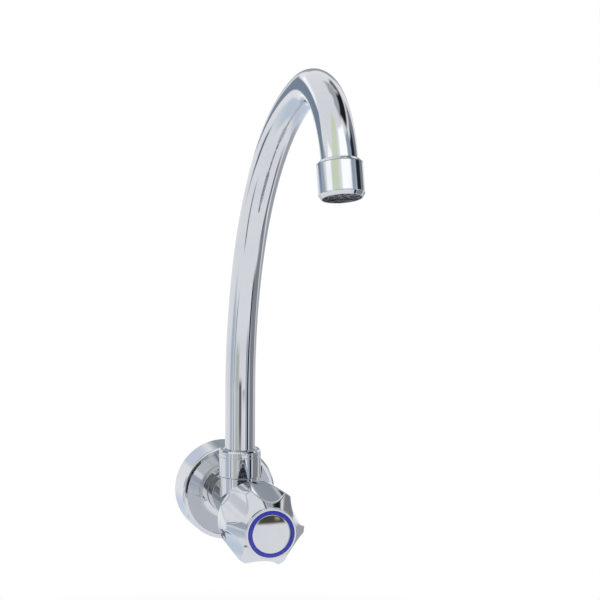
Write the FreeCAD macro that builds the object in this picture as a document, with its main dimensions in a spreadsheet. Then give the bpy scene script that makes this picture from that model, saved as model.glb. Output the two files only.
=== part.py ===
"""Wall-mounted sink tap with a swan-neck swivel spout and a six-lobed knob.

Millimetres, +Z up. The origin is on the inlet axis in the plane of the wall; +Y points into the wall and the
tap stands out from it towards -Y. The valve is a compression headwork: the knob turns a spindle that stays in
place, and the spindle's thread draws a hexagonal plunger with a rubber washer off the seat.
"""
import FreeCAD, Part
import math
import os
import re

import Sketcher

# Driving sizes, in millimetres and degrees
SIZES = {
    # fits
    "running_clearance": 0.07,
    "thread_clearance": 0.1,
    "axial_gap": 0.1,
    "press_clearance": 0.02,
    # inlet shank with a G1/2 male thread, and the barrel of the body
    "shank_radius": 10.4775,
    "shank_reach": 14,
    "shank_chamfer": 1.2,
    "inlet_bore": 7,
    "barrel_back": 8,
    "barrel_radius": 12.8,
    "barrel_ahead": 24.4,
    "barrel_chamfer": 0.6,
    # valve seat and chamber, measured from the neck's axis
    "seat_behind_neck": 8.1,
    "seat_bore": 6,
    "seat_rim": 7.2,
    "seat_height": 1.2,
    "seat_wall": 2.8,
    "chamber_radius": 9.6,
    # neck that carries the spout
    "neck_front": 47.6,
    "neck_radius": 12,
    "neck_shoulder": 17.2,
    "spigot_radius": 11.2,
    "spigot_height": 9.8,
    "waterway_radius": 6.5,
    "socket_floor": 14.5,
    # wall flange, a deep dished cup of sheet metal
    "flange_radius": 30.2,
    "flange_rim_radius": 29.1,
    "flange_depth": 20,
    "flange_wall": 1,
    "flange_edge": 1.4,
    "dish_front": 14.6,
    "hub_radius": 16.5,
    "hub_front": 16.2,
    "hub_back": 11,
    # spout nut
    "nut_radius": 12.6,
    "nut_seat_gap": 0.3,
    "nut_lip": 2.2,
    "nut_lip_gap": 0.25,
    "nut_bevel": 0.9,
    "nut_hole_bevel": 0.8,
    "nut_groove_below_top": 1.4,
    "nut_groove_width": 0.6,
    "nut_groove_depth": 0.35,
    "nut_bead_width": 1.6,
    # spout tube: a straight rise, a wide bend, a tight bend and a straight tail
    "tube_radius": 9,
    "tube_wall": 1,
    "rise_above_nut": 36.5,
    "wide_bend_radius": 179,
    "wide_bend_angle": 77,
    "tight_bend_radius": 48.9,
    "tight_bend_angle": 86.5,
    "tail_length": 19,
    # ferrule on the lower end of the tube
    "ferrule_radius": 9.3,
    "ferrule_bore": 6.5,
    "ferrule_floor_gap": 0.5,
    "ferrule_plug_height": 7,
    "collar_radius": 10.8,
    "collar_height": 1.5,
    "ferrule_ring_low": 3.5,
    "ferrule_ring_pitch": 5,
    "ferrule_ring_thickness": 1.7,
    "thrust_washer_height": 1,
    "split_ring_height": 1.6,
    "split_ring_gap": 2,
    # headwork
    "gasket_height": 1,
    "gasket_margin": 0.3,
    "bonnet_spigot_radius": 10.4,
    "bonnet_spigot_length": 13,
    "bonnet_hex_flats": 22,
    "bonnet_hex_depth": 7,
    "hex_face_radius": 10.7,
    "hex_corner_depth": 1.44,
    "nose_radius": 8.5,
    "nose_length": 17,
    "nose_chamfer": 0.8,
    "shoulder_wall": 0.6,
    # spindle
    "spindle_radius": 4.98,
    "spindle_thread_radius": 4.5,
    "spindle_thread_length": 20,
    "spindle_collar_radius": 6.4,
    "spindle_collar_depth": 2,
    "spindle_ring_back": 4,
    "spindle_ring_pitch": 6,
    "spindle_ring_thickness": 1.5,
    "circlip_depth": 1,
    "circlip_radius": 7,
    "circlip_groove": 0.7,
    "circlip_opening": 4,
    "circlip_front_land": 0.9,
    "drive_flats": 7,
    "drive_length": 14,
    "drive_screw_bore": 2,
    "drive_screw_depth": 10,
    # plunger and washer
    "plunger_flats": 13.2,
    "plunger_lift": 5,
    "plunger_end_gap": 0.6,
    "holder_radius": 8.2,
    "holder_depth": 6,
    "washer_depth": 4,
    "washer_radius": 8,
    "seat_gap": 0.05,
    "washer_screw_radius": 2,
    "washer_screw_length": 5,
    "washer_screw_head": 3.6,
    "washer_screw_head_depth": 2,
    # knob
    "knob_behind_nose": 12.5,
    "knob_rear_radius": 22,
    "knob_tip_radius": 23.1,
    "knob_tip_ahead": 25,
    "knob_cone_depth": 12.2,
    "bezel_radius": 14.8,
    "bezel_depth": 2.2,
    "bezel_round": 0.6,
    "knob_rim_round": 0.9,
    "knob_rear_bore": 19.2,
    "knob_bore": 16,
    "knob_bore_depth": 21,
    "knob_crown_radius": 11.5,
    "knob_crown_depth": 27.5,
    "hub_shaft_radius": 7.5,
    "hub_back_gap": 1,
    "web_depth": 3.4,
    "screw_pocket_radius": 5,
    "recess_depth": 2.6,
    "scoop_radius": 17.6,
    "scoop_floor": 18,
    "scoop_tilt": 6.9,
    "scoop_turn": 55,
    "scoop_count": 6,
    # index ring, cap and the screw behind them
    "ring_radius": 13.2,
    "ring_inner_radius": 10.7,
    "ring_stand": 0.35,
    "cap_clearance": 0.1,
    "cap_stand": 0.75,
    "cap_dome": 0.5,
    "cap_round": 0.4,
    "cap_plug_depth": 1.4,
    "cap_plug_wall": 0.8,
    "handle_screw_radius": 1.9,
    "handle_screw_head": 3.8,
    "handle_screw_head_depth": 2.6,
    "handle_screw_length": 11,
    "handle_screw_slot": 1,
    # aerator
    "aerator_radius": 11.2,
    "aerator_length": 16.4,
    "aerator_bore": 10,
    "aerator_lip": 1.9,
    "aerator_opening": 9.4,
    "aerator_bevel": 1.25,
    "aerator_bevel_height": 1.8,
    "aerator_engagement": 6.5,
    "end_collar_height": 1.7,
    "end_collar_bevel": 1.5,
    "cage_depth": 5.6,
    "cage_wall": 1,
    "cage_floor": 1.2,
    "cage_hole_radius": 1.1,
    "cage_inner_circle": 3.4,
    "cage_outer_circle": 6.7,
    "cage_inner_holes": 6,
    "cage_outer_holes": 12,
    "screen_depth": 0.4,
    "screen_pitch": 0.9,
    "diffuser_depth": 1.4,
    "diffuser_hole_radius": 0.7,
    "diffuser_circle": 5.5,
    "diffuser_holes": 12,
    "aerator_washer_bore": 7.4,
}

# Places along the handle's axis, measured forwards from the wall
BARREL_FRONT = "(neck_front + barrel_ahead)"
SEAT_FACE = "(neck_front - seat_behind_neck)"
SEAT_FLOOR = f"({SEAT_FACE} - seat_height)"
SEAT_BACK = f"({SEAT_FLOOR} - seat_wall)"
BONNET_BACK = f"({BARREL_FRONT} - bonnet_spigot_length)"
BONNET_SOCKET = "(bonnet_spigot_radius + thread_clearance)"
HEX_BACK = f"({BARREL_FRONT} + gasket_height)"
HEX_FRONT = f"({HEX_BACK} + bonnet_hex_depth)"
NOSE_FRONT = f"({HEX_FRONT} + nose_length)"
SHOULDER = f"({HEX_FRONT} - shoulder_wall)"
NOSE_BORE = "(spindle_radius + running_clearance)"
GUIDE_FLATS = "(plunger_flats + 2 * running_clearance)"
SPINDLE_COLLAR_FRONT = f"({SHOULDER} - axial_gap)"
SPINDLE_COLLAR_BACK = f"({SPINDLE_COLLAR_FRONT} - spindle_collar_depth)"
SPINDLE_BACK = f"({SPINDLE_COLLAR_BACK} - spindle_thread_length)"
CIRCLIP_BACK = f"({NOSE_FRONT} + axial_gap)"
CIRCLIP_FRONT = f"({CIRCLIP_BACK} + circlip_depth)"
DRIVE_BACK = f"({CIRCLIP_FRONT} + circlip_front_land)"
SPINDLE_FRONT = f"({DRIVE_BACK} + drive_length)"
WASHER_BACK = f"({SEAT_FACE} + seat_gap)"
WASHER_FRONT = f"({WASHER_BACK} + washer_depth)"
HOLDER_FRONT = f"({WASHER_FRONT} + holder_depth)"
PLUNGER_FRONT = f"({SPINDLE_COLLAR_BACK} - plunger_lift - plunger_end_gap)"
PLUNGER_BORE_BACK = f"({SPINDLE_BACK} - plunger_lift - plunger_end_gap)"
PLUNGER_BORE = "(spindle_thread_radius + running_clearance)"
KNOB_BACK = f"({NOSE_FRONT} - knob_behind_nose)"
KNOB_TIP = f"({KNOB_BACK} + knob_tip_ahead)"
BEZEL_BACK = f"({KNOB_TIP} + knob_cone_depth)"
KNOB_FRONT = f"({BEZEL_BACK} + bezel_depth)"
RECESS = f"({KNOB_FRONT} - recess_depth)"
HUB_BACK = f"({DRIVE_BACK} + hub_back_gap)"
WEB_BACK = f"({SPINDLE_FRONT} + axial_gap)"
WEB_FRONT = f"({WEB_BACK} + web_depth)"

# Heights on the neck's axis, measured up from the inlet axis
NECK_TOP = "(neck_shoulder + spigot_height)"
COLLAR_BOTTOM = f"({NECK_TOP} + thrust_washer_height + axial_gap)"
COLLAR_TOP = f"({COLLAR_BOTTOM} + collar_height)"
LIP_BOTTOM = f"({COLLAR_TOP} + split_ring_height + axial_gap)"
NUT_TOP = f"({LIP_BOTTOM} + nut_lip)"
NUT_BOTTOM = "(neck_shoulder + nut_seat_gap)"
FERRULE_BOTTOM = "(socket_floor + ferrule_floor_gap)"
SOCKET_RADIUS = "(ferrule_radius + running_clearance)"
RISE_TOP = f"({NUT_TOP} + rise_above_nut)"
TUBE_BORE = "(tube_radius - tube_wall)"

# The spout's line in its own plane: how far it leads forwards and how high it stands at each change of bend
TURN = "(wide_bend_angle + tight_bend_angle)"
WIDE_LEAD = "(wide_bend_radius * (1 - cos(wide_bend_angle)))"
WIDE_HEIGHT = f"({RISE_TOP} + wide_bend_radius * sin(wide_bend_angle))"
TIGHT_CENTRE_LEAD = f"({WIDE_LEAD} + tight_bend_radius * cos(wide_bend_angle))"
TIGHT_CENTRE_HEIGHT = f"({WIDE_HEIGHT} - tight_bend_radius * sin(wide_bend_angle))"
TIGHT_LEAD = f"({TIGHT_CENTRE_LEAD} - tight_bend_radius * cos({TURN}))"
TIGHT_HEIGHT = f"({TIGHT_CENTRE_HEIGHT} + tight_bend_radius * sin({TURN}))"
OUTLET_TILT = f"({TURN} - 180)"
OUTLET_LEAD = f"({TIGHT_LEAD} + tail_length * sin({TURN}))"
OUTLET_HEIGHT = f"({TIGHT_HEIGHT} + tail_length * cos({TURN}))"

# Places on the outlet's axis, measured up the tube from the mouth
TUBE_END = "(aerator_length - aerator_engagement)"
COLLAR_SEAT = "(aerator_length + axial_gap)"
COLLAR_END = f"({COLLAR_SEAT} + end_collar_height)"
BUSH_RADIUS = "(aerator_bore - thread_clearance)"
CAGE_RADIUS = "(aerator_bore - thread_clearance)"
CAGE_BOTTOM = "(aerator_lip + axial_gap)"
CAGE_TOP = f"({CAGE_BOTTOM} + cage_depth)"
CAGE_BORE = f"({CAGE_RADIUS} - cage_wall)"
SCREEN_BOTTOM = f"({CAGE_BOTTOM} + cage_floor + axial_gap)"
DIFFUSER_BOTTOM = f"({CAGE_TOP} - diffuser_depth)"

doc = FreeCAD.newDocument("sink_tap")
sheet = doc.addObject("Spreadsheet::Sheet", "sizes")
for row, (alias, size) in enumerate(SIZES.items(), start=1):
    sheet.set(f"A{row}", alias)
    sheet.set(f"B{row}", str(size))
    sheet.setAlias(f"B{row}", alias)
doc.recompute()

WORD = re.compile(r"[a-z_]+")


def bind(total):
    """The same sum with every size's name led by the name of the sheet."""
    return WORD.sub(lambda word: f"sizes.{word[0]}" if word[0] in SIZES else word[0], total)


def value(total):
    """What a sum of sizes comes to now."""
    return float(sheet.evalExpression(bind(total)))


def origin_part(body, role):
    """A plane or axis of the body's own origin."""
    return next(part for part in body.Origin.OriginFeatures if part.Role == role)


def new_body(label):
    body = doc.addObject("PartDesign::Body", label)
    body.Label = label
    return body


def set_on_handle_axis(piece):
    """Turn a piece so that its own Z runs forwards along the inlet and handle axis, with its Y up."""
    piece.Placement = FreeCAD.Placement(FreeCAD.Vector(), FreeCAD.Rotation(FreeCAD.Vector(1, 0, 0), 90))
    return piece


def set_on_neck_axis(piece):
    """Move a piece so that its own Z rises along the neck."""
    piece.setExpression("Placement.Base.y", bind("-neck_front"))
    return piece


def set_on_outlet_axis(piece):
    """Move and tilt a piece so that its own Z rises from the spout's mouth into the tube."""
    tilt = FreeCAD.Rotation(FreeCAD.Vector(1, 0, 0), value(OUTLET_TILT))
    piece.Placement = FreeCAD.Placement(FreeCAD.Vector(), tilt)
    piece.setExpression("Placement.Base.y", bind(f"-neck_front - {OUTLET_LEAD}"))
    piece.setExpression("Placement.Base.z", bind(OUTLET_HEIGHT))
    piece.setExpression("Placement.Rotation.Angle", bind(OUTLET_TILT))
    return piece


def on_handle_axis(label):
    return set_on_handle_axis(new_body(label))


def on_neck_axis(label):
    return set_on_neck_axis(new_body(label))


def on_outlet_axis(label):
    return set_on_outlet_axis(new_body(label))


def new_sketch(body, name, plane, lift=None, turn=None):
    """A sketch on one of a body's own planes, lifted off it or turned about its own Y."""
    sketch = body.newObject("Sketcher::SketchObject", name)
    sketch.AttachmentSupport = (origin_part(body, plane), [""])
    sketch.MapMode = "FlatFace"
    if lift:
        sketch.setExpression("AttachmentOffset.Base.z", bind(lift))
    if turn:
        about_y = FreeCAD.Rotation(FreeCAD.Vector(0, 1, 0), value(turn))
        sketch.AttachmentOffset = FreeCAD.Placement(FreeCAD.Vector(), about_y)
        sketch.setExpression("AttachmentOffset.Rotation.Angle", bind(turn))
    return sketch


def hold(sketch, kind, geometry, end, total):
    """Hold one point of a sketch at a sum of sizes from the origin, in one direction."""
    index = sketch.addConstraint(Sketcher.Constraint(kind, -1, 1, geometry, end, value(total)))
    sketch.setExpression(f"Constraints[{index}]", bind(total))


def tie(sketch, geometry, end, across, up):
    """Hold one point of a sketch at two sums of sizes."""
    for kind, total, axis in (("DistanceX", across, -2), ("DistanceY", up, -1)):
        if total == "0":
            sketch.addConstraint(Sketcher.Constraint("PointOnObject", geometry, end, axis))
        else:
            hold(sketch, kind, geometry, end, total)


def outline(body, name, corners, plane="XZ_Plane", lift=None, turn=None):
    """A closed sketch of straight edges. Each corner is a pair of sums, (radius, place along the axis)."""
    sketch = new_sketch(body, name, plane, lift, turn)
    points = [FreeCAD.Vector(value(across), value(up), 0) for across, up in corners]
    for start, end in zip(points, points[1:] + points[:1]):
        sketch.addGeometry(Part.LineSegment(start, end), False)
    for index in range(len(points)):
        after = (index + 1) % len(points)
        sketch.addConstraint(Sketcher.Constraint("Coincident", index, 2, after, 1))
    for index, (across, up) in enumerate(corners):
        tie(sketch, index, 1, across, up)
    return sketch


def circles(body, name, rounds, plane="XY_Plane", lift=None):
    """A sketch of circles. Each is a radius and the two sums that place its centre."""
    sketch = new_sketch(body, name, plane, lift)
    for radius, across, up in rounds:
        centre = FreeCAD.Vector(value(across), value(up), 0)
        index = sketch.addGeometry(Part.Circle(centre, FreeCAD.Vector(0, 0, 1), value(radius)), False)
        size = sketch.addConstraint(Sketcher.Constraint("Radius", index, value(radius)))
        sketch.setExpression(f"Constraints[{size}]", bind(radius))
        tie(sketch, index, 3, across, up)
    return sketch


def polygon(flats, sides):
    """Corners of a regular polygon of so many sides, measured across flats."""
    half = 180 / sides
    turns = [half + 2 * half * step for step in range(sides)]
    reach = f"{flats} / 2 / cos({half})"
    return [(f"{reach} * cos({turn})", f"{reach} * sin({turn})") for turn in turns]


def spin(body, sketch, name, kind="Revolution", axis="V_Axis"):
    """Turn a sketch right round an axis, to add it or, as a Groove, to cut it."""
    feature = body.newObject(f"PartDesign::{kind}", name)
    feature.Profile = sketch
    feature.ReferenceAxis = (sketch, [axis])
    feature.Angle = 360
    doc.recompute()
    return feature


def turned(body, corners):
    """A piece turned on a lathe from one outline."""
    return spin(body, outline(body, f"{body.Name}_profile", corners), f"{body.Name}_turned")


def raise_pad(body, sketch, name, length, back=False):
    pad = body.newObject("PartDesign::Pad", name)
    pad.Profile = sketch
    pad.setExpression("Length", bind(length))
    pad.Reversed = back
    doc.recompute()
    return pad


def sink_pocket(body, sketch, name, length, back=False):
    """A pocket that must take metal away."""
    before = body.Tip.Shape.Volume
    pocket = body.newObject("PartDesign::Pocket", name)
    pocket.Profile = sketch
    pocket.setExpression("Length", bind(length))
    pocket.Reversed = back
    doc.recompute()
    assert pocket.Shape.Volume < before, f"{name} cuts nothing"
    return pocket


def cut_round(body, sketch, name, axis="V_Axis"):
    """A groove that must take metal away."""
    before = body.Tip.Shape.Volume
    groove = spin(body, sketch, name, "Groove", axis)
    assert groove.Shape.Volume < before, f"{name} cuts nothing"
    return groove


def repeat_round(body, feature, name, count):
    """Copies of a feature round the body's own Z."""
    pattern = body.newObject("PartDesign::PolarPattern", name)
    pattern.Originals = [feature]
    pattern.Axis = (origin_part(body, "Z_Axis"), [""])
    pattern.Angle = 360
    pattern.setExpression("Occurrences", bind(count))
    body.Tip = pattern
    doc.recompute()
    return pattern


def round_edges(feature, radius, along):
    """Names of a feature's circular edges about Z with this radius at this height."""
    names = []
    for index, edge in enumerate(feature.Shape.Edges, start=1):
        curve = edge.Curve
        if not isinstance(curve, Part.Circle):
            continue
        if abs(curve.Radius - value(radius)) < 1e-4 and abs(curve.Center.z - value(along)) < 1e-4:
            names.append(f"Edge{index}")
    assert names, f"no edge of radius {radius} at {along}"
    return names


def soften(body, name, kind, size, edges):
    """Fillet or chamfer round edges of the last feature, each named by its radius and place on the axis."""
    base = body.Tip
    names = [edge for radius, along in edges for edge in round_edges(base, radius, along)]
    feature = body.newObject(f"PartDesign::{kind}", name)
    feature.Base = (base, names)
    feature.setExpression("Radius" if kind == "Fillet" else "Size", bind(size))
    doc.recompute()
    return feature


def tap_body():
    """Cast body: inlet shank, barrel with the valve chamber, and the neck that carries the spout."""
    body = on_handle_axis("tap_body")
    turned(body, [
        ("0", "-shank_reach"),
        ("shank_radius - shank_chamfer", "-shank_reach"),
        ("shank_radius", "shank_chamfer - shank_reach"),
        ("shank_radius", "barrel_back"),
        ("barrel_radius", "barrel_back"),
        ("barrel_radius", f"{BARREL_FRONT} - barrel_chamfer"),
        ("barrel_radius - barrel_chamfer", BARREL_FRONT),
        ("0", BARREL_FRONT),
    ])
    neck = outline(body, "neck_profile", [
        ("0", "neck_front"),
        ("0", "neck_front + neck_radius"),
        ("neck_shoulder", "neck_front + neck_radius"),
        ("neck_shoulder", "neck_front + spigot_radius"),
        (NECK_TOP, "neck_front + spigot_radius"),
        (NECK_TOP, "neck_front"),
    ], "YZ_Plane")
    spin(body, neck, "neck", axis="Edge6")
    bore = outline(body, "bore_profile", [
        ("0", "-shank_reach"),
        ("inlet_bore", "-shank_reach"),
        ("inlet_bore", SEAT_BACK),
        ("seat_bore", SEAT_BACK),
        ("seat_bore", SEAT_FACE),
        ("seat_rim", SEAT_FACE),
        ("seat_rim", SEAT_FLOOR),
        ("chamber_radius", SEAT_FLOOR),
        ("chamber_radius", BONNET_BACK),
        (BONNET_SOCKET, BONNET_BACK),
        (BONNET_SOCKET, BARREL_FRONT),
        ("0", BARREL_FRONT),
    ])
    cut_round(body, bore, "bore")
    socket = outline(body, "socket_profile", [
        ("0", "neck_front"),
        ("0", "neck_front + waterway_radius"),
        ("socket_floor", "neck_front + waterway_radius"),
        ("socket_floor", f"neck_front + {SOCKET_RADIUS}"),
        (NECK_TOP, f"neck_front + {SOCKET_RADIUS}"),
        (NECK_TOP, "neck_front"),
    ], "YZ_Plane")
    cut_round(body, socket, "socket", axis="Edge6")
    return body


def wall_flange():
    """Deep cup of sheet metal with a dished face and a hub ring that slides on the barrel."""
    body = on_handle_axis("wall_flange")
    hub_bore = "(barrel_radius + running_clearance)"
    turned(body, [
        ("flange_radius", "0"),
        ("flange_rim_radius", "flange_depth"),
        ("flange_rim_radius - 2 * flange_edge", "flange_depth"),
        ("hub_radius", "dish_front"),
        ("hub_radius", "hub_front"),
        (hub_bore, "hub_front"),
        (hub_bore, "hub_back"),
        ("hub_radius - flange_wall", "hub_back"),
        ("hub_radius - flange_wall", "dish_front - flange_wall"),
        ("flange_rim_radius - 2 * flange_edge", "flange_depth - flange_wall"),
        ("flange_rim_radius - flange_wall", "flange_depth - flange_wall"),
        ("flange_radius - flange_wall", "0"),
    ])
    soften(body, "rim_round", "Fillet", "flange_edge", [("flange_rim_radius", "flange_depth")])
    return body


def headwork_bonnet():
    """Hexagonal headwork body: screwed spigot, hexagon, nose, and a hexagonal guide for the plunger."""
    body = on_handle_axis("headwork_bonnet")
    turned(body, [
        ("0", BONNET_BACK),
        ("bonnet_spigot_radius", BONNET_BACK),
        ("bonnet_spigot_radius", HEX_FRONT),
        ("nose_radius", HEX_FRONT),
        ("nose_radius", f"{NOSE_FRONT} - nose_chamfer"),
        ("nose_radius - nose_chamfer", NOSE_FRONT),
        ("0", NOSE_FRONT),
    ])
    hexagon = outline(body, "hexagon_profile", polygon("bonnet_hex_flats", 6), "XY_Plane", HEX_BACK)
    raise_pad(body, hexagon, "hexagon", "bonnet_hex_depth")
    corner = "(0.6 * bonnet_hex_flats)"
    bevel = outline(body, "corner_profile", [
        ("hex_face_radius", HEX_FRONT),
        (corner, HEX_FRONT),
        (corner, f"{HEX_FRONT} - hex_corner_depth"),
    ])
    cut_round(body, bevel, "hexagon_corners")
    guide = outline(body, "guide_profile", polygon(GUIDE_FLATS, 6), "XY_Plane", BONNET_BACK)
    sink_pocket(body, guide, "guide", f"{SHOULDER} - {BONNET_BACK}", back=True)
    shaft = circles(body, "shaft_profile", [(NOSE_BORE, "0", "0")], lift=BONNET_BACK)
    sink_pocket(body, shaft, "shaft_bore", f"{NOSE_FRONT} - {BONNET_BACK}", back=True)
    return body


def bonnet_gasket():
    """Fibre ring between the barrel's front face and the hexagon."""
    body = on_handle_axis("bonnet_gasket")
    turned(body, [
        (BONNET_SOCKET, BARREL_FRONT),
        ("barrel_radius - barrel_chamfer - gasket_margin", BARREL_FRONT),
        ("barrel_radius - barrel_chamfer - gasket_margin", HEX_BACK),
        (BONNET_SOCKET, HEX_BACK),
    ])
    return body


def spindle_groove(step):
    """Back end of one of the two ring grooves in the spindle."""
    return f"({HEX_FRONT} + spindle_ring_back + {step} * spindle_ring_pitch)"


def spindle():
    """Spindle: drive thread, thrust collar, sealed shaft and a square end for the knob."""
    body = on_handle_axis("spindle")
    ring_floor = "(spindle_radius - spindle_ring_thickness)"
    corners = [
        ("0", SPINDLE_BACK),
        ("spindle_thread_radius", SPINDLE_BACK),
        ("spindle_thread_radius", SPINDLE_COLLAR_BACK),
        ("spindle_collar_radius", SPINDLE_COLLAR_BACK),
        ("spindle_collar_radius", SPINDLE_COLLAR_FRONT),
        ("spindle_radius", SPINDLE_COLLAR_FRONT),
    ]
    for step in range(2):
        back = spindle_groove(step)
        front = f"{back} + spindle_ring_thickness + 2 * axial_gap"
        corners += [("spindle_radius", back), (ring_floor, back)]
        corners += [(ring_floor, front), ("spindle_radius", front)]
    corners += [
        ("spindle_radius", CIRCLIP_BACK),
        ("spindle_radius - circlip_groove", CIRCLIP_BACK),
        ("spindle_radius - circlip_groove", CIRCLIP_FRONT),
        ("spindle_radius", CIRCLIP_FRONT),
        ("spindle_radius", DRIVE_BACK),
        ("0", DRIVE_BACK),
    ]
    turned(body, corners)
    square = outline(body, "drive_profile", polygon("drive_flats", 4), "XY_Plane", DRIVE_BACK)
    raise_pad(body, square, "drive", "drive_length")
    tapping = circles(body, "tapping_profile", [("drive_screw_bore", "0", "0")], lift=SPINDLE_FRONT)
    sink_pocket(body, tapping, "tapping", "drive_screw_depth")
    return body


def ring_group(label, radius, thickness, middles):
    """Separate round-section rings on one axis, held as one group."""
    rings = []
    for index, middle in enumerate(middles):
        ring = doc.addObject("Part::Torus", f"{label}_{index}")
        ring.setExpression("Radius1", bind(radius))
        ring.setExpression("Radius2", bind(f"{thickness} / 2"))
        ring.setExpression("Placement.Base.z", bind(middle))
        rings.append(ring)
    group = doc.addObject("Part::Compound", label)
    group.Label = label
    group.Links = rings
    return group


def spindle_o_rings():
    """Two seals in the spindle's grooves."""
    middles = [f"{spindle_groove(step)} + axial_gap + spindle_ring_thickness / 2" for step in range(2)]
    radius = "(spindle_radius + running_clearance / 2 - spindle_ring_thickness / 2)"
    return set_on_handle_axis(ring_group("spindle_o_rings", radius, "spindle_ring_thickness", middles))


def spindle_circlip():
    """Open spring ring in the spindle's front groove."""
    body = on_handle_axis("spindle_circlip")
    inner = "(spindle_radius - circlip_groove + press_clearance)"
    turned(body, [
        (inner, f"{CIRCLIP_BACK} + press_clearance"),
        ("circlip_radius", f"{CIRCLIP_BACK} + press_clearance"),
        ("circlip_radius", f"{CIRCLIP_FRONT} - press_clearance"),
        (inner, f"{CIRCLIP_FRONT} - press_clearance"),
    ])
    opening = outline(body, "opening_profile", [
        ("-circlip_opening / 2", "0"),
        ("circlip_opening / 2", "0"),
        ("circlip_opening / 2", "2 * circlip_radius"),
        ("-circlip_opening / 2", "2 * circlip_radius"),
    ], "XY_Plane", CIRCLIP_BACK)
    sink_pocket(body, opening, "opening", "circlip_depth", back=True)
    return body


def valve_plunger():
    """Hexagonal nut on the spindle's thread, with the washer's holder at its back."""
    body = on_handle_axis("valve_plunger")
    turned(body, [
        ("0", WASHER_FRONT),
        ("holder_radius", WASHER_FRONT),
        ("holder_radius", HOLDER_FRONT),
        ("0", HOLDER_FRONT),
    ])
    nut = outline(body, "nut_profile", polygon("plunger_flats", 6), "XY_Plane", HOLDER_FRONT)
    raise_pad(body, nut, "nut", f"{PLUNGER_FRONT} - {HOLDER_FRONT}")
    thread = circles(body, "thread_profile", [(PLUNGER_BORE, "0", "0")], lift=PLUNGER_FRONT)
    sink_pocket(body, thread, "thread_bore", f"{PLUNGER_FRONT} - {PLUNGER_BORE_BACK}")
    tapping = "(washer_screw_radius + press_clearance)"
    screw = circles(body, "screw_profile", [(tapping, "0", "0")], lift=WASHER_FRONT)
    sink_pocket(body, screw, "screw_bore", "washer_screw_length + axial_gap", back=True)
    return body


def valve_washer():
    """Rubber disc that closes the seat."""
    body = on_handle_axis("valve_washer")
    hole = "(washer_screw_radius + press_clearance)"
    turned(body, [
        (hole, WASHER_BACK),
        ("washer_radius", WASHER_BACK),
        ("washer_radius", WASHER_FRONT),
        (hole, WASHER_FRONT),
    ])
    return body


def washer_screw():
    """Screw that holds the washer, its head in the seat's bore."""
    body = on_handle_axis("washer_screw")
    turned(body, [
        ("0", f"{WASHER_BACK} - washer_screw_head_depth"),
        ("washer_screw_head", f"{WASHER_BACK} - washer_screw_head_depth"),
        ("washer_screw_head", WASHER_BACK),
        ("washer_screw_radius", WASHER_BACK),
        ("washer_screw_radius", f"{WASHER_FRONT} + washer_screw_length"),
        ("0", f"{WASHER_FRONT} + washer_screw_length"),
    ])
    return body


def handle_knob():
    """Hollow knob: six tilted scoops leave six lobes, with a round rim behind and a bezel in front."""
    body = on_handle_axis("handle_knob")
    turned(body, [
        ("knob_rear_bore", KNOB_BACK),
        ("knob_rear_radius", KNOB_BACK),
        ("knob_tip_radius", KNOB_TIP),
        ("bezel_radius", BEZEL_BACK),
        ("bezel_radius", KNOB_FRONT),
        ("ring_radius + running_clearance", KNOB_FRONT),
        ("ring_radius + running_clearance", RECESS),
        ("screw_pocket_radius", RECESS),
        ("screw_pocket_radius", WEB_FRONT),
        ("0", WEB_FRONT),
        ("0", HUB_BACK),
        ("hub_shaft_radius", HUB_BACK),
        ("hub_shaft_radius", f"{KNOB_BACK} + knob_crown_depth"),
        ("knob_crown_radius", f"{KNOB_BACK} + knob_crown_depth"),
        ("knob_bore", f"{KNOB_BACK} + knob_bore_depth"),
    ])
    soften(body, "rim_round", "Fillet", "knob_rim_round", [("knob_rear_radius", KNOB_BACK)])
    soften(body, "bezel_round", "Fillet", "bezel_round", [("bezel_radius", KNOB_FRONT)])
    # One scoop is a cylinder laid along a floor line that dips towards the front
    back = "1.5 * knob_tip_ahead"
    front = "1.5 * knob_cone_depth"
    floor_back = (f"scoop_floor + {back} * sin(scoop_tilt)", f"{KNOB_TIP} - {back} * cos(scoop_tilt)")
    floor_front = (f"scoop_floor - {front} * sin(scoop_tilt)", f"{KNOB_TIP} + {front} * cos(scoop_tilt)")
    out = ("scoop_radius * cos(scoop_tilt)", "scoop_radius * sin(scoop_tilt)")
    scoop = outline(body, "scoop_profile", [
        floor_back,
        floor_front,
        (f"{floor_front[0]} + {out[0]}", f"{floor_front[1]} + {out[1]}"),
        (f"{floor_back[0]} + {out[0]}", f"{floor_back[1]} + {out[1]}"),
    ], "YZ_Plane", turn="scoop_turn")
    repeat_round(body, cut_round(body, scoop, "scoop", "Edge3"), "scoops", "scoop_count")
    drive = polygon("(drive_flats + 2 * press_clearance)", 4)
    socket = outline(body, "socket_profile", drive, "XY_Plane", HUB_BACK)
    sink_pocket(body, socket, "socket", f"{WEB_BACK} - {HUB_BACK}", back=True)
    hole = "(handle_screw_radius + thread_clearance)"
    screw = circles(body, "screw_profile", [(hole, "0", "0")], lift=WEB_FRONT)
    sink_pocket(body, screw, "screw_hole", "web_depth")
    return body


def handle_screw():
    """Slotted screw through the knob's web into the spindle."""
    body = on_handle_axis("handle_screw")
    head_front = f"({WEB_FRONT} + handle_screw_head_depth)"
    turned(body, [
        ("0", f"{WEB_FRONT} - handle_screw_length"),
        ("handle_screw_radius", f"{WEB_FRONT} - handle_screw_length"),
        ("handle_screw_radius", WEB_FRONT),
        ("handle_screw_head", WEB_FRONT),
        ("handle_screw_head", head_front),
        ("0", head_front),
    ])
    slot = outline(body, "slot_profile", [
        ("-2 * handle_screw_head", "-handle_screw_slot / 2"),
        ("2 * handle_screw_head", "-handle_screw_slot / 2"),
        ("2 * handle_screw_head", "handle_screw_slot / 2"),
        ("-2 * handle_screw_head", "handle_screw_slot / 2"),
    ], "XY_Plane", head_front)
    sink_pocket(body, slot, "slot", "handle_screw_slot")
    return body


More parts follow.
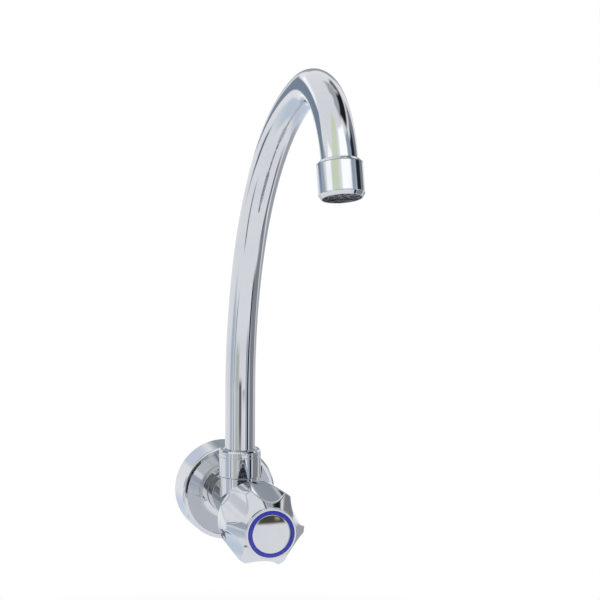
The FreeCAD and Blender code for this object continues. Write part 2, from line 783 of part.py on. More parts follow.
def index_ring():
    """Blue ring let into the knob's front, sloped outwards."""
    body = on_handle_axis("index_ring")
    front = f"({KNOB_FRONT} + ring_stand)"
    turned(body, [
        ("ring_inner_radius", RECESS),
        ("ring_radius", RECESS),
        ("ring_radius", KNOB_FRONT),
        ("ring_inner_radius", front),
    ])
    return body


def index_cap():
    """Plain cap inside the ring, slightly domed, with a short plug in the screw's pocket."""
    body = on_handle_axis("index_cap")
    front = f"({KNOB_FRONT} + cap_stand)"
    edge = f"({front} - cap_dome)"
    rim = "(ring_inner_radius - cap_clearance)"
    plug = "(screw_pocket_radius - cap_clearance)"
    turned(body, [
        ("0", RECESS),
        (f"{plug} - cap_plug_wall", RECESS),
        (f"{plug} - cap_plug_wall", f"{RECESS} - cap_plug_depth"),
        (plug, f"{RECESS} - cap_plug_depth"),
        (plug, RECESS),
        (rim, RECESS),
        (rim, edge),
        (f"0.75 * {rim}", f"{edge} + 0.44 * cap_dome"),
        (f"0.5 * {rim}", f"{edge} + 0.75 * cap_dome"),
        (f"0.25 * {rim}", f"{edge} + 0.94 * cap_dome"),
        ("0", front),
    ])
    soften(body, "cap_round", "Fillet", "cap_round", [(rim, edge)])
    return body


def spout_tube():
    """Bent tube from the ferrule's collar to the aerator."""
    body = on_neck_axis("spout_tube")
    route = new_sketch(body, "spout_line", "YZ_Plane")
    start, rise = ("0", COLLAR_TOP), ("0", RISE_TOP)
    wide_end, tight_end = (f"-{WIDE_LEAD}", WIDE_HEIGHT), (f"-{TIGHT_LEAD}", TIGHT_HEIGHT)
    wide_centre = ("-wide_bend_radius", RISE_TOP)
    tight_centre = (f"-{TIGHT_CENTRE_LEAD}", TIGHT_CENTRE_HEIGHT)
    short_tail = f"(tail_length - {TUBE_END})"
    end = (f"-{TIGHT_LEAD} - {short_tail} * sin({TURN})", f"{TIGHT_HEIGHT} + {short_tail} * cos({TURN})")

    def spot(pair):
        return FreeCAD.Vector(value(pair[0]), value(pair[1]), 0)

    def bend(centre, radius, first, last):
        circle = Part.Circle(spot(centre), FreeCAD.Vector(0, 0, 1), value(radius))
        return Part.ArcOfCircle(circle, math.radians(value(first)), math.radians(value(last)))

    route.addGeometry(Part.LineSegment(spot(start), spot(rise)), False)
    route.addGeometry(bend(wide_centre, "wide_bend_radius", "0", "wide_bend_angle"), False)
    route.addGeometry(bend(tight_centre, "tight_bend_radius", "wide_bend_angle", TURN), False)
    route.addGeometry(Part.LineSegment(spot(tight_end), spot(end)), False)
    for first in range(3):
        route.addConstraint(Sketcher.Constraint("Coincident", first, 2, first + 1, 1))
    tie(route, 0, 1, *start)
    tie(route, 0, 2, *rise)
    tie(route, 1, 3, *wide_centre)
    tie(route, 2, 3, *tight_centre)
    tie(route, 3, 2, *end)
    hold(route, "DistanceX", 1, 2, wide_end[0])
    hold(route, "DistanceY", 2, 2, tight_end[1])
    section = circles(body, "section", [("tube_radius", "0", "0"), (TUBE_BORE, "0", "0")], lift=COLLAR_TOP)
    doc.recompute()
    pipe = body.newObject("PartDesign::AdditivePipe", "bent_tube")
    pipe.Profile = section
    pipe.Spine = (route, [])
    doc.recompute()
    return body


def ferrule_groove(step):
    """Bottom of one of the two ring grooves in the ferrule."""
    return f"({FERRULE_BOTTOM} + ferrule_ring_low + {step} * ferrule_ring_pitch)"


def spout_ferrule():
    """Turned end piece: sealed sleeve in the neck, collar under the nut, plug inside the tube."""
    body = on_neck_axis("spout_ferrule")
    ring_floor = "(ferrule_radius - ferrule_ring_thickness)"
    plug = f"({TUBE_BORE} - running_clearance)"
    corners = [("ferrule_bore", FERRULE_BOTTOM), ("ferrule_radius", FERRULE_BOTTOM)]
    for step in range(2):
        bottom = ferrule_groove(step)
        top = f"{bottom} + ferrule_ring_thickness + 2 * axial_gap"
        corners += [("ferrule_radius", bottom), (ring_floor, bottom)]
        corners += [(ring_floor, top), ("ferrule_radius", top)]
    corners += [
        ("ferrule_radius", COLLAR_BOTTOM),
        ("collar_radius", COLLAR_BOTTOM),
        ("collar_radius", COLLAR_TOP),
        (plug, COLLAR_TOP),
        (plug, f"{COLLAR_TOP} + ferrule_plug_height"),
        ("ferrule_bore", f"{COLLAR_TOP} + ferrule_plug_height"),
    ]
    turned(body, corners)
    return body


def spout_o_rings():
    """Two seals in the ferrule's grooves."""
    middles = [f"{ferrule_groove(step)} + axial_gap + ferrule_ring_thickness / 2" for step in range(2)]
    radius = "(ferrule_radius + running_clearance / 2 - ferrule_ring_thickness / 2)"
    return set_on_neck_axis(ring_group("spout_o_rings", radius, "ferrule_ring_thickness", middles))


def spout_thrust_washer():
    """Slip washer on the neck's top, under the collar."""
    body = on_neck_axis("spout_thrust_washer")
    turned(body, [
        (SOCKET_RADIUS, NECK_TOP),
        ("collar_radius", NECK_TOP),
        ("collar_radius", f"{NECK_TOP} + thrust_washer_height"),
        (SOCKET_RADIUS, f"{NECK_TOP} + thrust_washer_height"),
    ])
    return body


def spout_split_ring():
    """Plastic ring with a gap, sprung over the tube above the collar."""
    body = on_neck_axis("spout_split_ring")
    inner = "(tube_radius + running_clearance)"
    top = f"({COLLAR_TOP} + split_ring_height)"
    turned(body, [(inner, COLLAR_TOP), ("collar_radius", COLLAR_TOP), ("collar_radius", top), (inner, top)])
    opening = outline(body, "opening_profile", [
        ("-split_ring_gap / 2", "0"),
        ("split_ring_gap / 2", "0"),
        ("split_ring_gap / 2", "2 * collar_radius"),
        ("-split_ring_gap / 2", "2 * collar_radius"),
    ], "XY_Plane", COLLAR_TOP)
    sink_pocket(body, opening, "opening", "split_ring_height", back=True)
    return body


def spout_nut():
    """Plain round nut with a beveled top, a bead between two grooves and a lip over the collar."""
    body = on_neck_axis("spout_nut")
    thread = "(spigot_radius + thread_clearance)"
    hole = "(tube_radius + nut_lip_gap)"
    groove = "(nut_radius - nut_groove_depth)"
    upper_top = f"({NUT_TOP} - nut_groove_below_top)"
    upper_bottom = f"({upper_top} - nut_groove_width)"
    lower_top = f"({upper_bottom} - nut_bead_width)"
    lower_bottom = f"({lower_top} - nut_groove_width)"
    turned(body, [
        (thread, NUT_BOTTOM),
        ("nut_radius", NUT_BOTTOM),
        ("nut_radius", lower_bottom),
        (groove, lower_bottom),
        (groove, lower_top),
        ("nut_radius", lower_top),
        ("nut_radius", upper_bottom),
        (groove, upper_bottom),
        (groove, upper_top),
        ("nut_radius", upper_top),
        ("nut_radius", f"{NUT_TOP} - nut_bevel"),
        ("nut_radius - nut_bevel", NUT_TOP),
        (f"{hole} + nut_hole_bevel", NUT_TOP),
        (hole, f"{NUT_TOP} - nut_hole_bevel"),
        (hole, LIP_BOTTOM),
        (thread, LIP_BOTTOM),
    ])
    return body


def spout_end_bush():
    """Screwed ring brazed round the end of the tube, with a beveled collar above the sleeve."""
    body = on_outlet_axis("spout_end_bush")
    inner = "(tube_radius + press_clearance)"
    turned(body, [
        (inner, TUBE_END),
        (BUSH_RADIUS, TUBE_END),
        (BUSH_RADIUS, COLLAR_SEAT),
        ("aerator_radius", COLLAR_SEAT),
        ("aerator_radius", f"{COLLAR_END} - end_collar_bevel"),
        ("aerator_radius - end_collar_bevel", COLLAR_END),
        (inner, COLLAR_END),
    ])
    return body


def aerator_housing():
    """Sleeve that screws on the bush, beveled towards the mouth, with a thin lip that holds the cage."""
    body = on_outlet_axis("aerator_housing")
    turned(body, [
        ("aerator_opening", "0"),
        ("aerator_radius - aerator_bevel", "0"),
        ("aerator_radius", "aerator_bevel_height"),
        ("aerator_radius", "aerator_length"),
        ("aerator_bore", "aerator_length"),
        ("aerator_bore", "aerator_lip"),
        ("aerator_opening", "aerator_lip"),
    ])
    return body


def aerator_cage():
    """Plastic cup whose floor is drilled in two rings of holes and one in the middle."""
    body = on_outlet_axis("aerator_cage")
    turned(body, [
        ("0", CAGE_BOTTOM),
        (CAGE_RADIUS, CAGE_BOTTOM),
        (CAGE_RADIUS, CAGE_TOP),
        (CAGE_BORE, CAGE_TOP),
        (CAGE_BORE, f"{CAGE_BOTTOM} + cage_floor"),
        ("0", f"{CAGE_BOTTOM} + cage_floor"),
    ])
    middle = circles(body, "middle_profile", [("cage_hole_radius", "0", "0")], lift=CAGE_BOTTOM)
    sink_pocket(body, middle, "middle_hole", "cage_floor", back=True)
    for ring in ("inner", "outer"):
        spot = [("cage_hole_radius", f"cage_{ring}_circle", "0")]
        sketch = circles(body, f"{ring}_profile", spot, lift=CAGE_BOTTOM)
        hole = sink_pocket(body, sketch, f"{ring}_hole", "cage_floor", back=True)
        repeat_round(body, hole, f"{ring}_holes", f"cage_{ring}_holes")
    return body


def aerator_screens():
    """Two thin discs of wire cloth on the cage's floor."""
    group = doc.addObject("Part::Compound", "aerator_screens")
    group.Label = "aerator_screens"
    discs = []
    for index in range(2):
        disc = doc.addObject("Part::Cylinder", f"aerator_screen_{index}")
        disc.setExpression("Radius", bind(f"{CAGE_BORE} - axial_gap"))
        disc.setExpression("Height", bind("screen_depth"))
        disc.setExpression("Placement.Base.z", bind(f"{SCREEN_BOTTOM} + {index} * screen_pitch"))
        discs.append(disc)
    group.Links = discs
    return set_on_outlet_axis(group)


def aerator_diffuser():
    """Drilled disc in the top of the cage."""
    body = on_outlet_axis("aerator_diffuser")
    rim = f"({CAGE_BORE} - press_clearance)"
    turned(body, [("0", DIFFUSER_BOTTOM), (rim, DIFFUSER_BOTTOM), (rim, CAGE_TOP), ("0", CAGE_TOP)])
    spot = [("diffuser_hole_radius", "diffuser_circle", "0")]
    sketch = circles(body, "jet_profile", spot, lift=DIFFUSER_BOTTOM)
    jet = sink_pocket(body, sketch, "jet", "diffuser_depth", back=True)
    repeat_round(body, jet, "jets", "diffuser_holes")
    return body


def aerator_washer():
    """Rubber ring between the insert and the end of the tube."""
    body = on_outlet_axis("aerator_washer")
    top = f"({TUBE_END} - axial_gap)"
    bottom = f"({CAGE_TOP} + axial_gap)"
    turned(body, [
        ("aerator_washer_bore", bottom),
        (CAGE_RADIUS, bottom),
        (CAGE_RADIUS, top),
        ("aerator_washer_bore", top),
    ])
    return body


PIECES = [
    tap_body(),
    wall_flange(),
    headwork_bonnet(),
    bonnet_gasket(),
    spindle(),
    spindle_o_rings(),
    spindle_circlip(),
    valve_plunger(),
    valve_washer(),
    washer_screw(),
    handle_knob(),
    handle_screw(),
    index_ring(),
    index_cap(),
    spout_tube(),
    spout_ferrule(),
    spout_o_rings(),
    spout_thrust_washer(),
    spout_split_ring(),
    spout_nut(),
    spout_end_bush(),
    aerator_housing(),
    aerator_cage(),
    aerator_screens(),
    aerator_diffuser(),
    aerator_washer(),
]
doc.recompute()

for item in doc.Objects:
    assert not {"Invalid", "Error"} & set(item.State), f"{item.Label} did not build"
for piece in PIECES:
    assert not piece.Shape.isNull() and piece.Shape.isValid(), f"{piece.Label} is not a sound solid"

os.makedirs("parts", exist_ok=True)
for piece in PIECES:
    piece.Shape.exportStep(f"parts/{piece.Label}.step")
    print(piece.Label, len(piece.Shape.Solids), round(piece.Shape.Volume, 1))
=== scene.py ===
"""Chrome wall tap with a swan-neck swivel spout and a six-lobed knob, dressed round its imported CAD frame.

Sizes are in millimetres and are brought to metres when a mesh is made. Every piece is built on one of three axes:
the inlet and handle axis, the neck's axis or the outlet's axis.
"""

import logging
import math
from dataclasses import dataclass
from enum import Enum
from typing import Any, Callable, Sequence

import bpy
import numpy as np
from mathutils import Matrix, Vector
from mathutils.geometry import delaunay_2d_cdt


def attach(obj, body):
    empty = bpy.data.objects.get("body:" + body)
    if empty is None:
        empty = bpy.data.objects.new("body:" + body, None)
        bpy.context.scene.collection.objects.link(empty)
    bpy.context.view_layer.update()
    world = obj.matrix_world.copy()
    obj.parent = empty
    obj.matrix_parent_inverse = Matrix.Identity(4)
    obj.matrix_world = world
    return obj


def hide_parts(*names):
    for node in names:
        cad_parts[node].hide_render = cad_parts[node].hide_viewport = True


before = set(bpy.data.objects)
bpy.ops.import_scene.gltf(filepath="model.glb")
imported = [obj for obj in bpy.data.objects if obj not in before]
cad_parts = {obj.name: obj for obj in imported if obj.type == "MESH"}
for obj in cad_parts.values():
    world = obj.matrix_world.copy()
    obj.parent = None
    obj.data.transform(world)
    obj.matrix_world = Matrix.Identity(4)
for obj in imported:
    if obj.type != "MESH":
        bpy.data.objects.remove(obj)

LOG = logging.getLogger("sink_tap")
MM = 0.001

# Points round a turned piece, and round one that shows large
SIDES, FINE_SIDES = 144, 192
# Largest step along a round, and the share of a side that a round may take at an open end and between corners
ROUND_STEP, END_SHARE, SIDE_SHARE = math.radians(12), 0.95, 0.48
# Radii between which a carved surface is sought, how often they are halved, and the step that gives its normals
CARVE_SPAN, CARVE_HALVINGS, CARVE_PROBE = (8.0, 26.0), 48, 1e-3
# Bend that counts as straight, width that counts as a point, and decimals in which welded points agree
STRAIGHT, POINT_WIDTH, WELD_DECIMALS = 1e-3, 1e-6, 3
# Least length that a vector is divided by
LEAST_LENGTH = 1e-12
# Least radius of a face, for those on an axis
AXIS_RADIUS = 0.01
WHITE = (1.0, 1.0, 1.0, 1.0)

Colour = tuple[float, float, float]
Rows = tuple[np.ndarray, np.ndarray]
Field = Callable[[np.ndarray, np.ndarray, np.ndarray], np.ndarray]
Hollow = Callable[[np.ndarray, np.ndarray, np.ndarray, np.ndarray], np.ndarray]


class Body(Enum):
    """Bodies that the pieces made here ride on."""

    TAP = "tap"
    HANDLE = "handle"
    SPOUT = "spout"


class Slot(Enum):
    """Material slots of the record."""

    CHROME = "chrome_plate"
    BRASS = "bare_brass"
    RUBBER = "seal_rubber"
    STEEL = "spring_steel"
    NYLON = "white_nylon"
    FIBRE = "red_fibre"
    BLUE = "index_blue"
    PLASTIC = "grey_plastic"


class Pattern(Enum):
    """Fine relief that a finish carries."""

    POLISHED = "polished"
    TURNED = "turned"
    MOULDED = "moulded"


@dataclass(frozen=True)
class SpoutLine:
    """Line of the swan neck: a straight rise, a wide bend, a tight bend and a straight tail."""

    neck: float = 47.6
    foot: float = 29.6
    rise_top: float = 70.0
    wide_radius: float = 179.0
    wide_angle: float = 77.0
    tight_radius: float = 48.9
    tight_angle: float = 86.5
    tail: float = 19.0

    def turn(self) -> float:
        """Whole turn of the line, in radians."""
        return math.radians(self.wide_angle + self.tight_angle)

    def mouth(self) -> tuple[float, float]:
        """Find the mouth of the spout.

        Returns:
            How far it leads in front of the neck's axis, and its height.
        """
        wide, turn = math.radians(self.wide_angle), self.turn()
        lead = self.wide_radius * (1 - math.cos(wide)) + self.tight_radius * (math.cos(wide) - math.cos(turn))
        height = self.rise_top + self.wide_radius * math.sin(wide)
        height += self.tight_radius * (math.sin(turn) - math.sin(wide))
        return lead + self.tail * math.sin(turn), height + self.tail * math.cos(turn)


LINE = SpoutLine()


class Axis(Enum):
    """Axes that pieces are built on. A piece's own Z runs forwards, upwards or from the mouth into the tube."""

    HANDLE = "handle"
    NECK = "neck"
    OUTLET = "outlet"

    def matrix(self) -> np.ndarray:
        """Place of the axis in the frame, in millimetres.

        Returns:
            A matrix of four rows and columns.
        """
        if self is Axis.HANDLE:
            return np.array(Matrix.Rotation(math.pi / 2, 4, "X"))
        if self is Axis.NECK:
            return np.array(Matrix.Translation((0, -LINE.neck, 0)))
        lead, height = LINE.mouth()
        tilt = Matrix.Rotation(LINE.turn() - math.pi, 4, "X")
        return np.array(Matrix.Translation((0, -LINE.neck - lead, height)) @ tilt)


@dataclass(frozen=True)
class Corner:
    """One corner of a section: radius, place along the axis, and the size of its round."""

    radius: float
    along: float
    round: float = 0.2
    smooth: bool = False


@dataclass
class Shell:
    """Points, faces and outward normals of a surface, in millimetres on its own axis."""

    points: np.ndarray
    faces: list[tuple[int, ...]]
    normals: np.ndarray

    def __add__(self, other: "Shell") -> "Shell":
        """Both surfaces in one."""
        faces = self.faces + [tuple(corner + len(self.points) for corner in face) for face in other.faces]
        return Shell(np.vstack((self.points, other.points)), faces, np.vstack((self.normals, other.normals)))

    def welded(self) -> "Shell":
        """The surface with points that share a place made one.

        Returns:
            A new surface with the mean normal at each such place.
        """
        places = np.round(self.points, WELD_DECIMALS)
        _, first, index = np.unique(places, axis=0, return_index=True, return_inverse=True)
        index = index.ravel()
        normals = np.zeros((len(first), 3))
        np.add.at(normals, index, self.normals)
        faces = []
        for face in self.faces:
            corners = list(dict.fromkeys(int(index[corner]) for corner in face))
            if len(corners) > 2:
                faces.append(tuple(corners))
        return Shell(self.points[first], faces, unit(normals))

    def mesh(self, name: str, axis: Axis) -> bpy.types.Mesh:
        """A Blender mesh in metres with these normals.

        Args:
            name: Name of the mesh.
            axis: Axis that the surface was built on.

        Returns:
            The mesh, in place in the frame.
        """
        place = axis.matrix()
        points = (self.points @ place[:3, :3].T + place[:3, 3]) * MM
        mesh = bpy.data.meshes.new(name)
        mesh.from_pydata(points.tolist(), [], self.faces, shade_flat=False)
        mesh.normals_split_custom_set_from_vertices((self.normals @ place[:3, :3].T).tolist())
        return mesh


def unit(vectors: np.ndarray) -> np.ndarray:
    """Vectors brought to length one along the last axis."""
    return vectors / np.maximum(np.linalg.norm(vectors, axis=-1, keepdims=True), LEAST_LENGTH)


def section(corners: Sequence[Corner], closed: bool) -> Rows:
    """Round the corners of a section that has its material on the left.

    Args:
        corners: The corners in order.
        closed: Whether the last corner joins the first.

    Returns:
        Points and outward normals, as pairs of radius and place along the axis.
    """
    spots = np.array([(corner.radius, corner.along) for corner in corners])
    count = len(spots)
    points, normals = [], []
    for index, corner in enumerate(corners):
        before = spots[index] - spots[index - 1]
        after = spots[(index + 1) % count] - spots[index]
        first, last = not closed and index == 0, not closed and index == count - 1
        before, after = (after, after) if first else (before, before) if last else (before, after)
        into, out = unit(before), unit(after)
        side_in, side_out = np.array((into[1], -into[0])), np.array((out[1], -out[0]))
        bend = math.atan2(into[0] * out[1] - into[1] * out[0], float(into @ out))
        if corner.smooth or first or last or abs(bend) < STRAIGHT:
            middle = unit(side_in + side_out)
            points.append(spots[index])
            normals.append(np.array((0.0, math.copysign(1, middle[1]))) if corner.radius == 0 else middle)
            continue
        share_in = END_SHARE if not closed and index == 1 else SIDE_SHARE
        share_out = END_SHARE if not closed and index == count - 2 else SIDE_SHARE
        slope = math.tan(abs(bend) / 2)
        reach = min(corner.round * slope, share_in * np.linalg.norm(before), share_out * np.linalg.norm(after))
        start = spots[index] - into * reach
        inward = np.array((-into[1], into[0])) * math.copysign(1, bend)
        centre = start + inward * (reach / slope)
        steps = max(2, math.ceil(abs(bend) / ROUND_STEP))
        for step in range(steps + 1):
            angle = bend * step / steps
            spin = np.array(((math.cos(angle), -math.sin(angle)), (math.sin(angle), math.cos(angle))))
            points.append(centre + spin @ (start - centre))
            normals.append(spin @ side_in)
    return np.array(points), np.array(normals)


def arc(centre: tuple[float, float], radius: float, first: float, last: float, steps: int) -> list[Corner]:
    """Smooth corners on an arc of a section.

    Args:
        centre: Radius and place along the axis of the arc's centre.
        radius: Radius of the arc.
        first: First angle in degrees, from the outward direction.
        last: Last angle in degrees.
        steps: Number of spans.

    Returns:
        The corners in order.
    """
    angles = np.radians(np.linspace(first, last, steps + 1))
    return [Corner(centre[0] + radius * math.cos(a), centre[1] + radius * math.sin(a), smooth=True) for a in angles]


def turned_rows(corners: Sequence[Corner], closed: bool = False, sides: int = SIDES) -> Rows:
    """Turn a section on a lathe.

    Args:
        corners: Corners of the section, in order.
        closed: Whether the last corner joins the first.
        sides: Points in a row.

    Returns:
        Rows of points and of normals.
    """
    points, normals = section(corners, closed)
    angles = np.linspace(0, 2 * math.pi, sides, endpoint=False)
    ring = np.stack((np.cos(angles), np.sin(angles)), -1)[None]

    def spread(pairs: np.ndarray) -> np.ndarray:
        """Pairs carried round the axis."""
        along = np.repeat(pairs[:, None, 1:], sides, 1)
        return np.concatenate((pairs[:, None, :1] * ring, along), -1)

    return spread(points), spread(normals)


def carved_rows(field: Field, alongs: np.ndarray, sides: int = SIDES) -> Rows:
    """Find the surface that a distance field gives round an axis.

    Args:
        field: Distance outside the material at a radius, a turn and a place along the axis.
        alongs: Places of the rows.
        sides: Points in a row.

    Returns:
        Rows of points and of normals.
    """
    turns, places = np.meshgrid(np.linspace(0, 2 * math.pi, sides, endpoint=False), alongs)
    inner, outer = (np.full(places.shape, radius) for radius in CARVE_SPAN)
    for _ in range(CARVE_HALVINGS):
        middle = (inner + outer) / 2
        outside = field(middle, turns, places) > 0
        outer, inner = np.where(outside, middle, outer), np.where(outside, inner, middle)
    points = np.stack((inner * np.cos(turns), inner * np.sin(turns), places), -1)
    normals = np.zeros_like(points)
    for axis in range(3):
        for sign in (-1, 1):
            moved = points.copy()
            moved[..., axis] += sign * CARVE_PROBE
            radius = np.hypot(moved[..., 0], moved[..., 1])
            normals[..., axis] += sign * field(radius, np.arctan2(moved[..., 1], moved[..., 0]), moved[..., 2])
    return points, unit(normals)


def stacked(*parts: Rows) -> Rows:
    """Rows of several parts in one run."""
    rows, normals = zip(*parts)
    return np.vstack(rows), np.vstack(normals)


def ring_shell(rows: np.ndarray, normals: np.ndarray, closed: bool) -> Shell:
    """Faces between rows of points that each make a full turn.

    Args:
        rows: Points by row, by column and by coordinate.
        normals: Normals in the same order.
        closed: Whether the last row joins the first.

    Returns:
        The surface, with a single point where a row has no width.
    """
    count, sides = rows.shape[:2]
    index = np.arange(count * sides).reshape(count, sides)
    poles = np.ptp(rows, axis=1).max(axis=1) < POINT_WIDTH
    index[poles] = index[poles][:, :1]
    faces = []
    for row in range(count if closed else count - 1):
        low, high = index[row], index[(row + 1) % count]
        for a, b, c, d in zip(low, np.roll(low, -1), np.roll(high, -1), high):
            corners = tuple(dict.fromkeys((int(a), int(b), int(c), int(d))))
            if len(corners) > 2:
                faces.append(corners)
    used = np.unique(index)
    place = np.zeros(count * sides, int)
    place[used] = np.arange(len(used))
    faces = [tuple(int(place[corner]) for corner in face) for face in faces]
    return Shell(rows.reshape(-1, 3)[used], faces, normals.reshape(-1, 3)[used])


def lathe(corners: Sequence[Corner], closed: bool = True, sides: int = SIDES) -> Shell:
    """A piece turned on a lathe."""
    return ring_shell(*turned_rows(corners, closed, sides), closed)


def blunt_max(first: np.ndarray, second: np.ndarray, width: float) -> np.ndarray:
    """The larger of two distances, blended where they are within a width of each other."""
    return np.maximum(first, second) + np.maximum(width - np.abs(first - second), 0) ** 2 / (4 * width)


def new_object(name: str, data: bpy.types.ID) -> bpy.types.Object:
    """Put a new object in the scene.

    Args:
        name: Name of the object.
        data: Its mesh, lamp or camera.

    Returns:
        The object, at the origin.
    """
    thing = bpy.data.objects.new(name, data)
    bpy.context.scene.collection.objects.link(thing)
    return thing


def plain_mesh(carrier: bpy.types.Object, name: str) -> bpy.types.Mesh:
    """Keep what a carrier's modifiers make of its mesh, and take the carrier away.

    Args:
        carrier: An object that is there only for its modifiers.
        name: Name of the mesh that is kept.

    Returns:
        The mesh, with no modifier on it.
    """
    mesh = bpy.data.meshes.new_from_object(carrier.evaluated_get(bpy.context.evaluated_depsgraph_get()))
    carrier.data.name, mesh.name = f"{name}_base", name
    carrier.modifiers.clear()
    bpy.data.objects.remove(carrier)
    return mesh


def direction(azimuth: float, elevation: float) -> Vector:
    """Unit vector towards a direction in degrees, to the right of the tap's front and upwards."""
    turn, rise = math.radians(azimuth), math.radians(elevation)
    return Vector((math.sin(turn) * math.cos(rise), -math.cos(turn) * math.cos(rise), math.sin(rise)))


class Tree:
    """A node tree that is being wired up."""

    def __init__(self, tree: bpy.types.NodeTree) -> None:
        """Start on a tree that may already hold nodes."""
        self.tree = tree

    @classmethod
    def blank(cls, owner: bpy.types.Material | bpy.types.World) -> "Tree":
        """Start on the emptied tree of a material or world.

        Args:
            owner: The new material or world.

        Returns:
            The tree.
        """
        owner.use_nodes = True
        owner.node_tree.nodes.clear()
        return cls(owner.node_tree)

    def feed(self, node: bpy.types.Node, inputs: dict[Any, Any]) -> None:
        """Set or link a node's inputs.

        Args:
            node: The node.
            inputs: Values to set or sockets to link, by the inputs' names or numbers.
        """
        for key, value in inputs.items():
            if isinstance(value, bpy.types.NodeSocket):
                self.tree.links.new(value, node.inputs[key])
            else:
                node.inputs[key].default_value = value

    def add(self, kind: str, inputs: dict[Any, Any] | None = None, **settings: Any) -> bpy.types.Node:
        """Add a node.

        Args:
            kind: Type of the node.
            inputs: Values or sockets for its inputs, by name or number.
            settings: Properties of the node.

        Returns:
            The node.
        """
        node = self.tree.nodes.new(kind)
        for key, setting in settings.items():
            setattr(node, key, setting)
        self.feed(node, inputs or {})
        return node

    def math(self, operation: str, *values: Any) -> bpy.types.NodeSocket:
        """The result of one sum on values or sockets."""
        return self.add("ShaderNodeMath", dict(enumerate(values)), operation=operation).outputs[0]

    def join(self, *parts: bpy.types.NodeSocket) -> bpy.types.NodeSocket:
        """Join geometries.

        Args:
            parts: The geometries in order.

        Returns:
            All of them in one.
        """
        whole = self.add("GeometryNodeJoinGeometry")
        for part in parts:
            self.feed(whole, {0: part})
        return whole.outputs[0]

    def mix(self, output: str, share: Any, first: bpy.types.Node, second: bpy.types.Node) -> None:
        """End the tree in a mix of two shaders."""
        mixed = self.add("ShaderNodeMixShader", {0: share, 1: first.outputs[0], 2: second.outputs[0]})
        self.add(output, {"Surface": mixed.outputs[0]})

    def socket(self, name: str, way: str, kind: str = "Float") -> None:
        """Declare a named socket of the tree."""
        self.tree.interface.new_socket(name, in_out=way, socket_type=f"NodeSocket{kind}")


class Reliefs:
    """Shader groups that the finishes share. Each takes a place and a scale."""

    WIDE_DETAIL, FINE_DETAIL, FINE_RATIO, FINE_DEPTH = 1.0, 3.0, 9.0, 0.012
    RING_DETAIL, RING_DRIFT = 2.0, 2.0
    GRAIN_DETAIL, GRAIN_DEPTH = 4.0, 0.6
    SMEAR_DETAIL, SMEAR_EDGES = 6.0, (0.42, 0.68)

    def __init__(self) -> None:
        """Build each group once."""
        self.groups: dict[Pattern, bpy.types.NodeTree] = {}
        self.polish_marks()
        self.turning_lines()
        self.moulded_grain()
        self.handling = self.handling_marks()

    @staticmethod
    def start(name: str, *outputs: str) -> tuple[Tree, Any]:
        """Start a group.

        Args:
            name: Name of the group.
            outputs: Names of its outputs, all plain values.

        Returns:
            The group's tree and its inputs.
        """
        group = Tree(bpy.data.node_groups.new(name, "ShaderNodeTree"))
        group.socket("Vector", "INPUT", "Vector")
        group.socket("Scale", "INPUT")
        for label in outputs:
            group.socket(label, "OUTPUT")
        return group, group.add("NodeGroupInput").outputs

    @staticmethod
    def noise(group: Tree, place: Any, scale: Any, detail: float) -> bpy.types.NodeSocket:
        """Plain noise at a place."""
        return group.add("ShaderNodeTexNoise", {"Vector": place, "Scale": scale, "Detail": detail}).outputs["Fac"]

    def keep(self, pattern: Pattern, group: Tree, height: Any, tone: Any) -> None:
        """Send a height and a tone out of a group and keep it for its pattern."""
        group.add("NodeGroupOutput", {"Height": height, "Tone": tone})
        self.groups[pattern] = group.tree

    def polish_marks(self) -> None:
        """Soft waviness that a polishing wheel leaves on a casting."""
        group, source = self.start("polish_marks", "Height", "Tone")
        wide = self.noise(group, source["Vector"], source["Scale"], self.WIDE_DETAIL)
        fine_scale = group.math("MULTIPLY", source["Scale"], self.FINE_RATIO)
        fine = self.noise(group, source["Vector"], fine_scale, self.FINE_DETAIL)
        self.keep(Pattern.POLISHED, group, group.math("MULTIPLY_ADD", fine, self.FINE_DEPTH, wide), fine)

    def turning_lines(self) -> None:
        """Fine rings that a lathe tool leaves, uneven in depth."""
        group, source = self.start("turning_lines", "Height", "Tone")
        along = group.add("ShaderNodeSeparateXYZ", {"Vector": source["Vector"]}).outputs["Z"]
        noise = self.noise(group, source["Vector"], source["Scale"], self.RING_DETAIL)
        rings = group.math("MULTIPLY_ADD", noise, self.RING_DRIFT, group.math("MULTIPLY", along, source["Scale"]))
        wave = group.math("SINE", group.math("MULTIPLY", rings, 2 * math.pi))
        self.keep(Pattern.TURNED, group, group.math("MULTIPLY", wave, noise), noise)

    def moulded_grain(self) -> None:
        """Fine pebbled skin of a moulded or pressed piece."""
        group, source = self.start("moulded_grain", "Height", "Tone")
        cells = group.add("ShaderNodeTexVoronoi", {"Vector": source["Vector"], "Scale": source["Scale"]})
        noise = self.noise(group, source["Vector"], source["Scale"], self.GRAIN_DETAIL)
        height = group.math("MULTIPLY_ADD", noise, self.GRAIN_DEPTH, cells.outputs["Distance"])
        self.keep(Pattern.MOULDED, group, height, noise)

    def handling_marks(self) -> bpy.types.NodeTree:
        """Faint cloudy smears of handling and dried water.

        Returns:
            The group, which has a tone and no height.
        """
        group, source = self.start("handling_marks", "Tone")
        low, high = self.SMEAR_EDGES
        cloud = self.noise(group, source["Vector"], source["Scale"], self.SMEAR_DETAIL)
        edge = group.add("ShaderNodeMapRange", {"Value": cloud, "From Min": low, "From Max": high})
        group.add("NodeGroupOutput", {"Tone": edge.outputs["Result"]})
        return group.tree


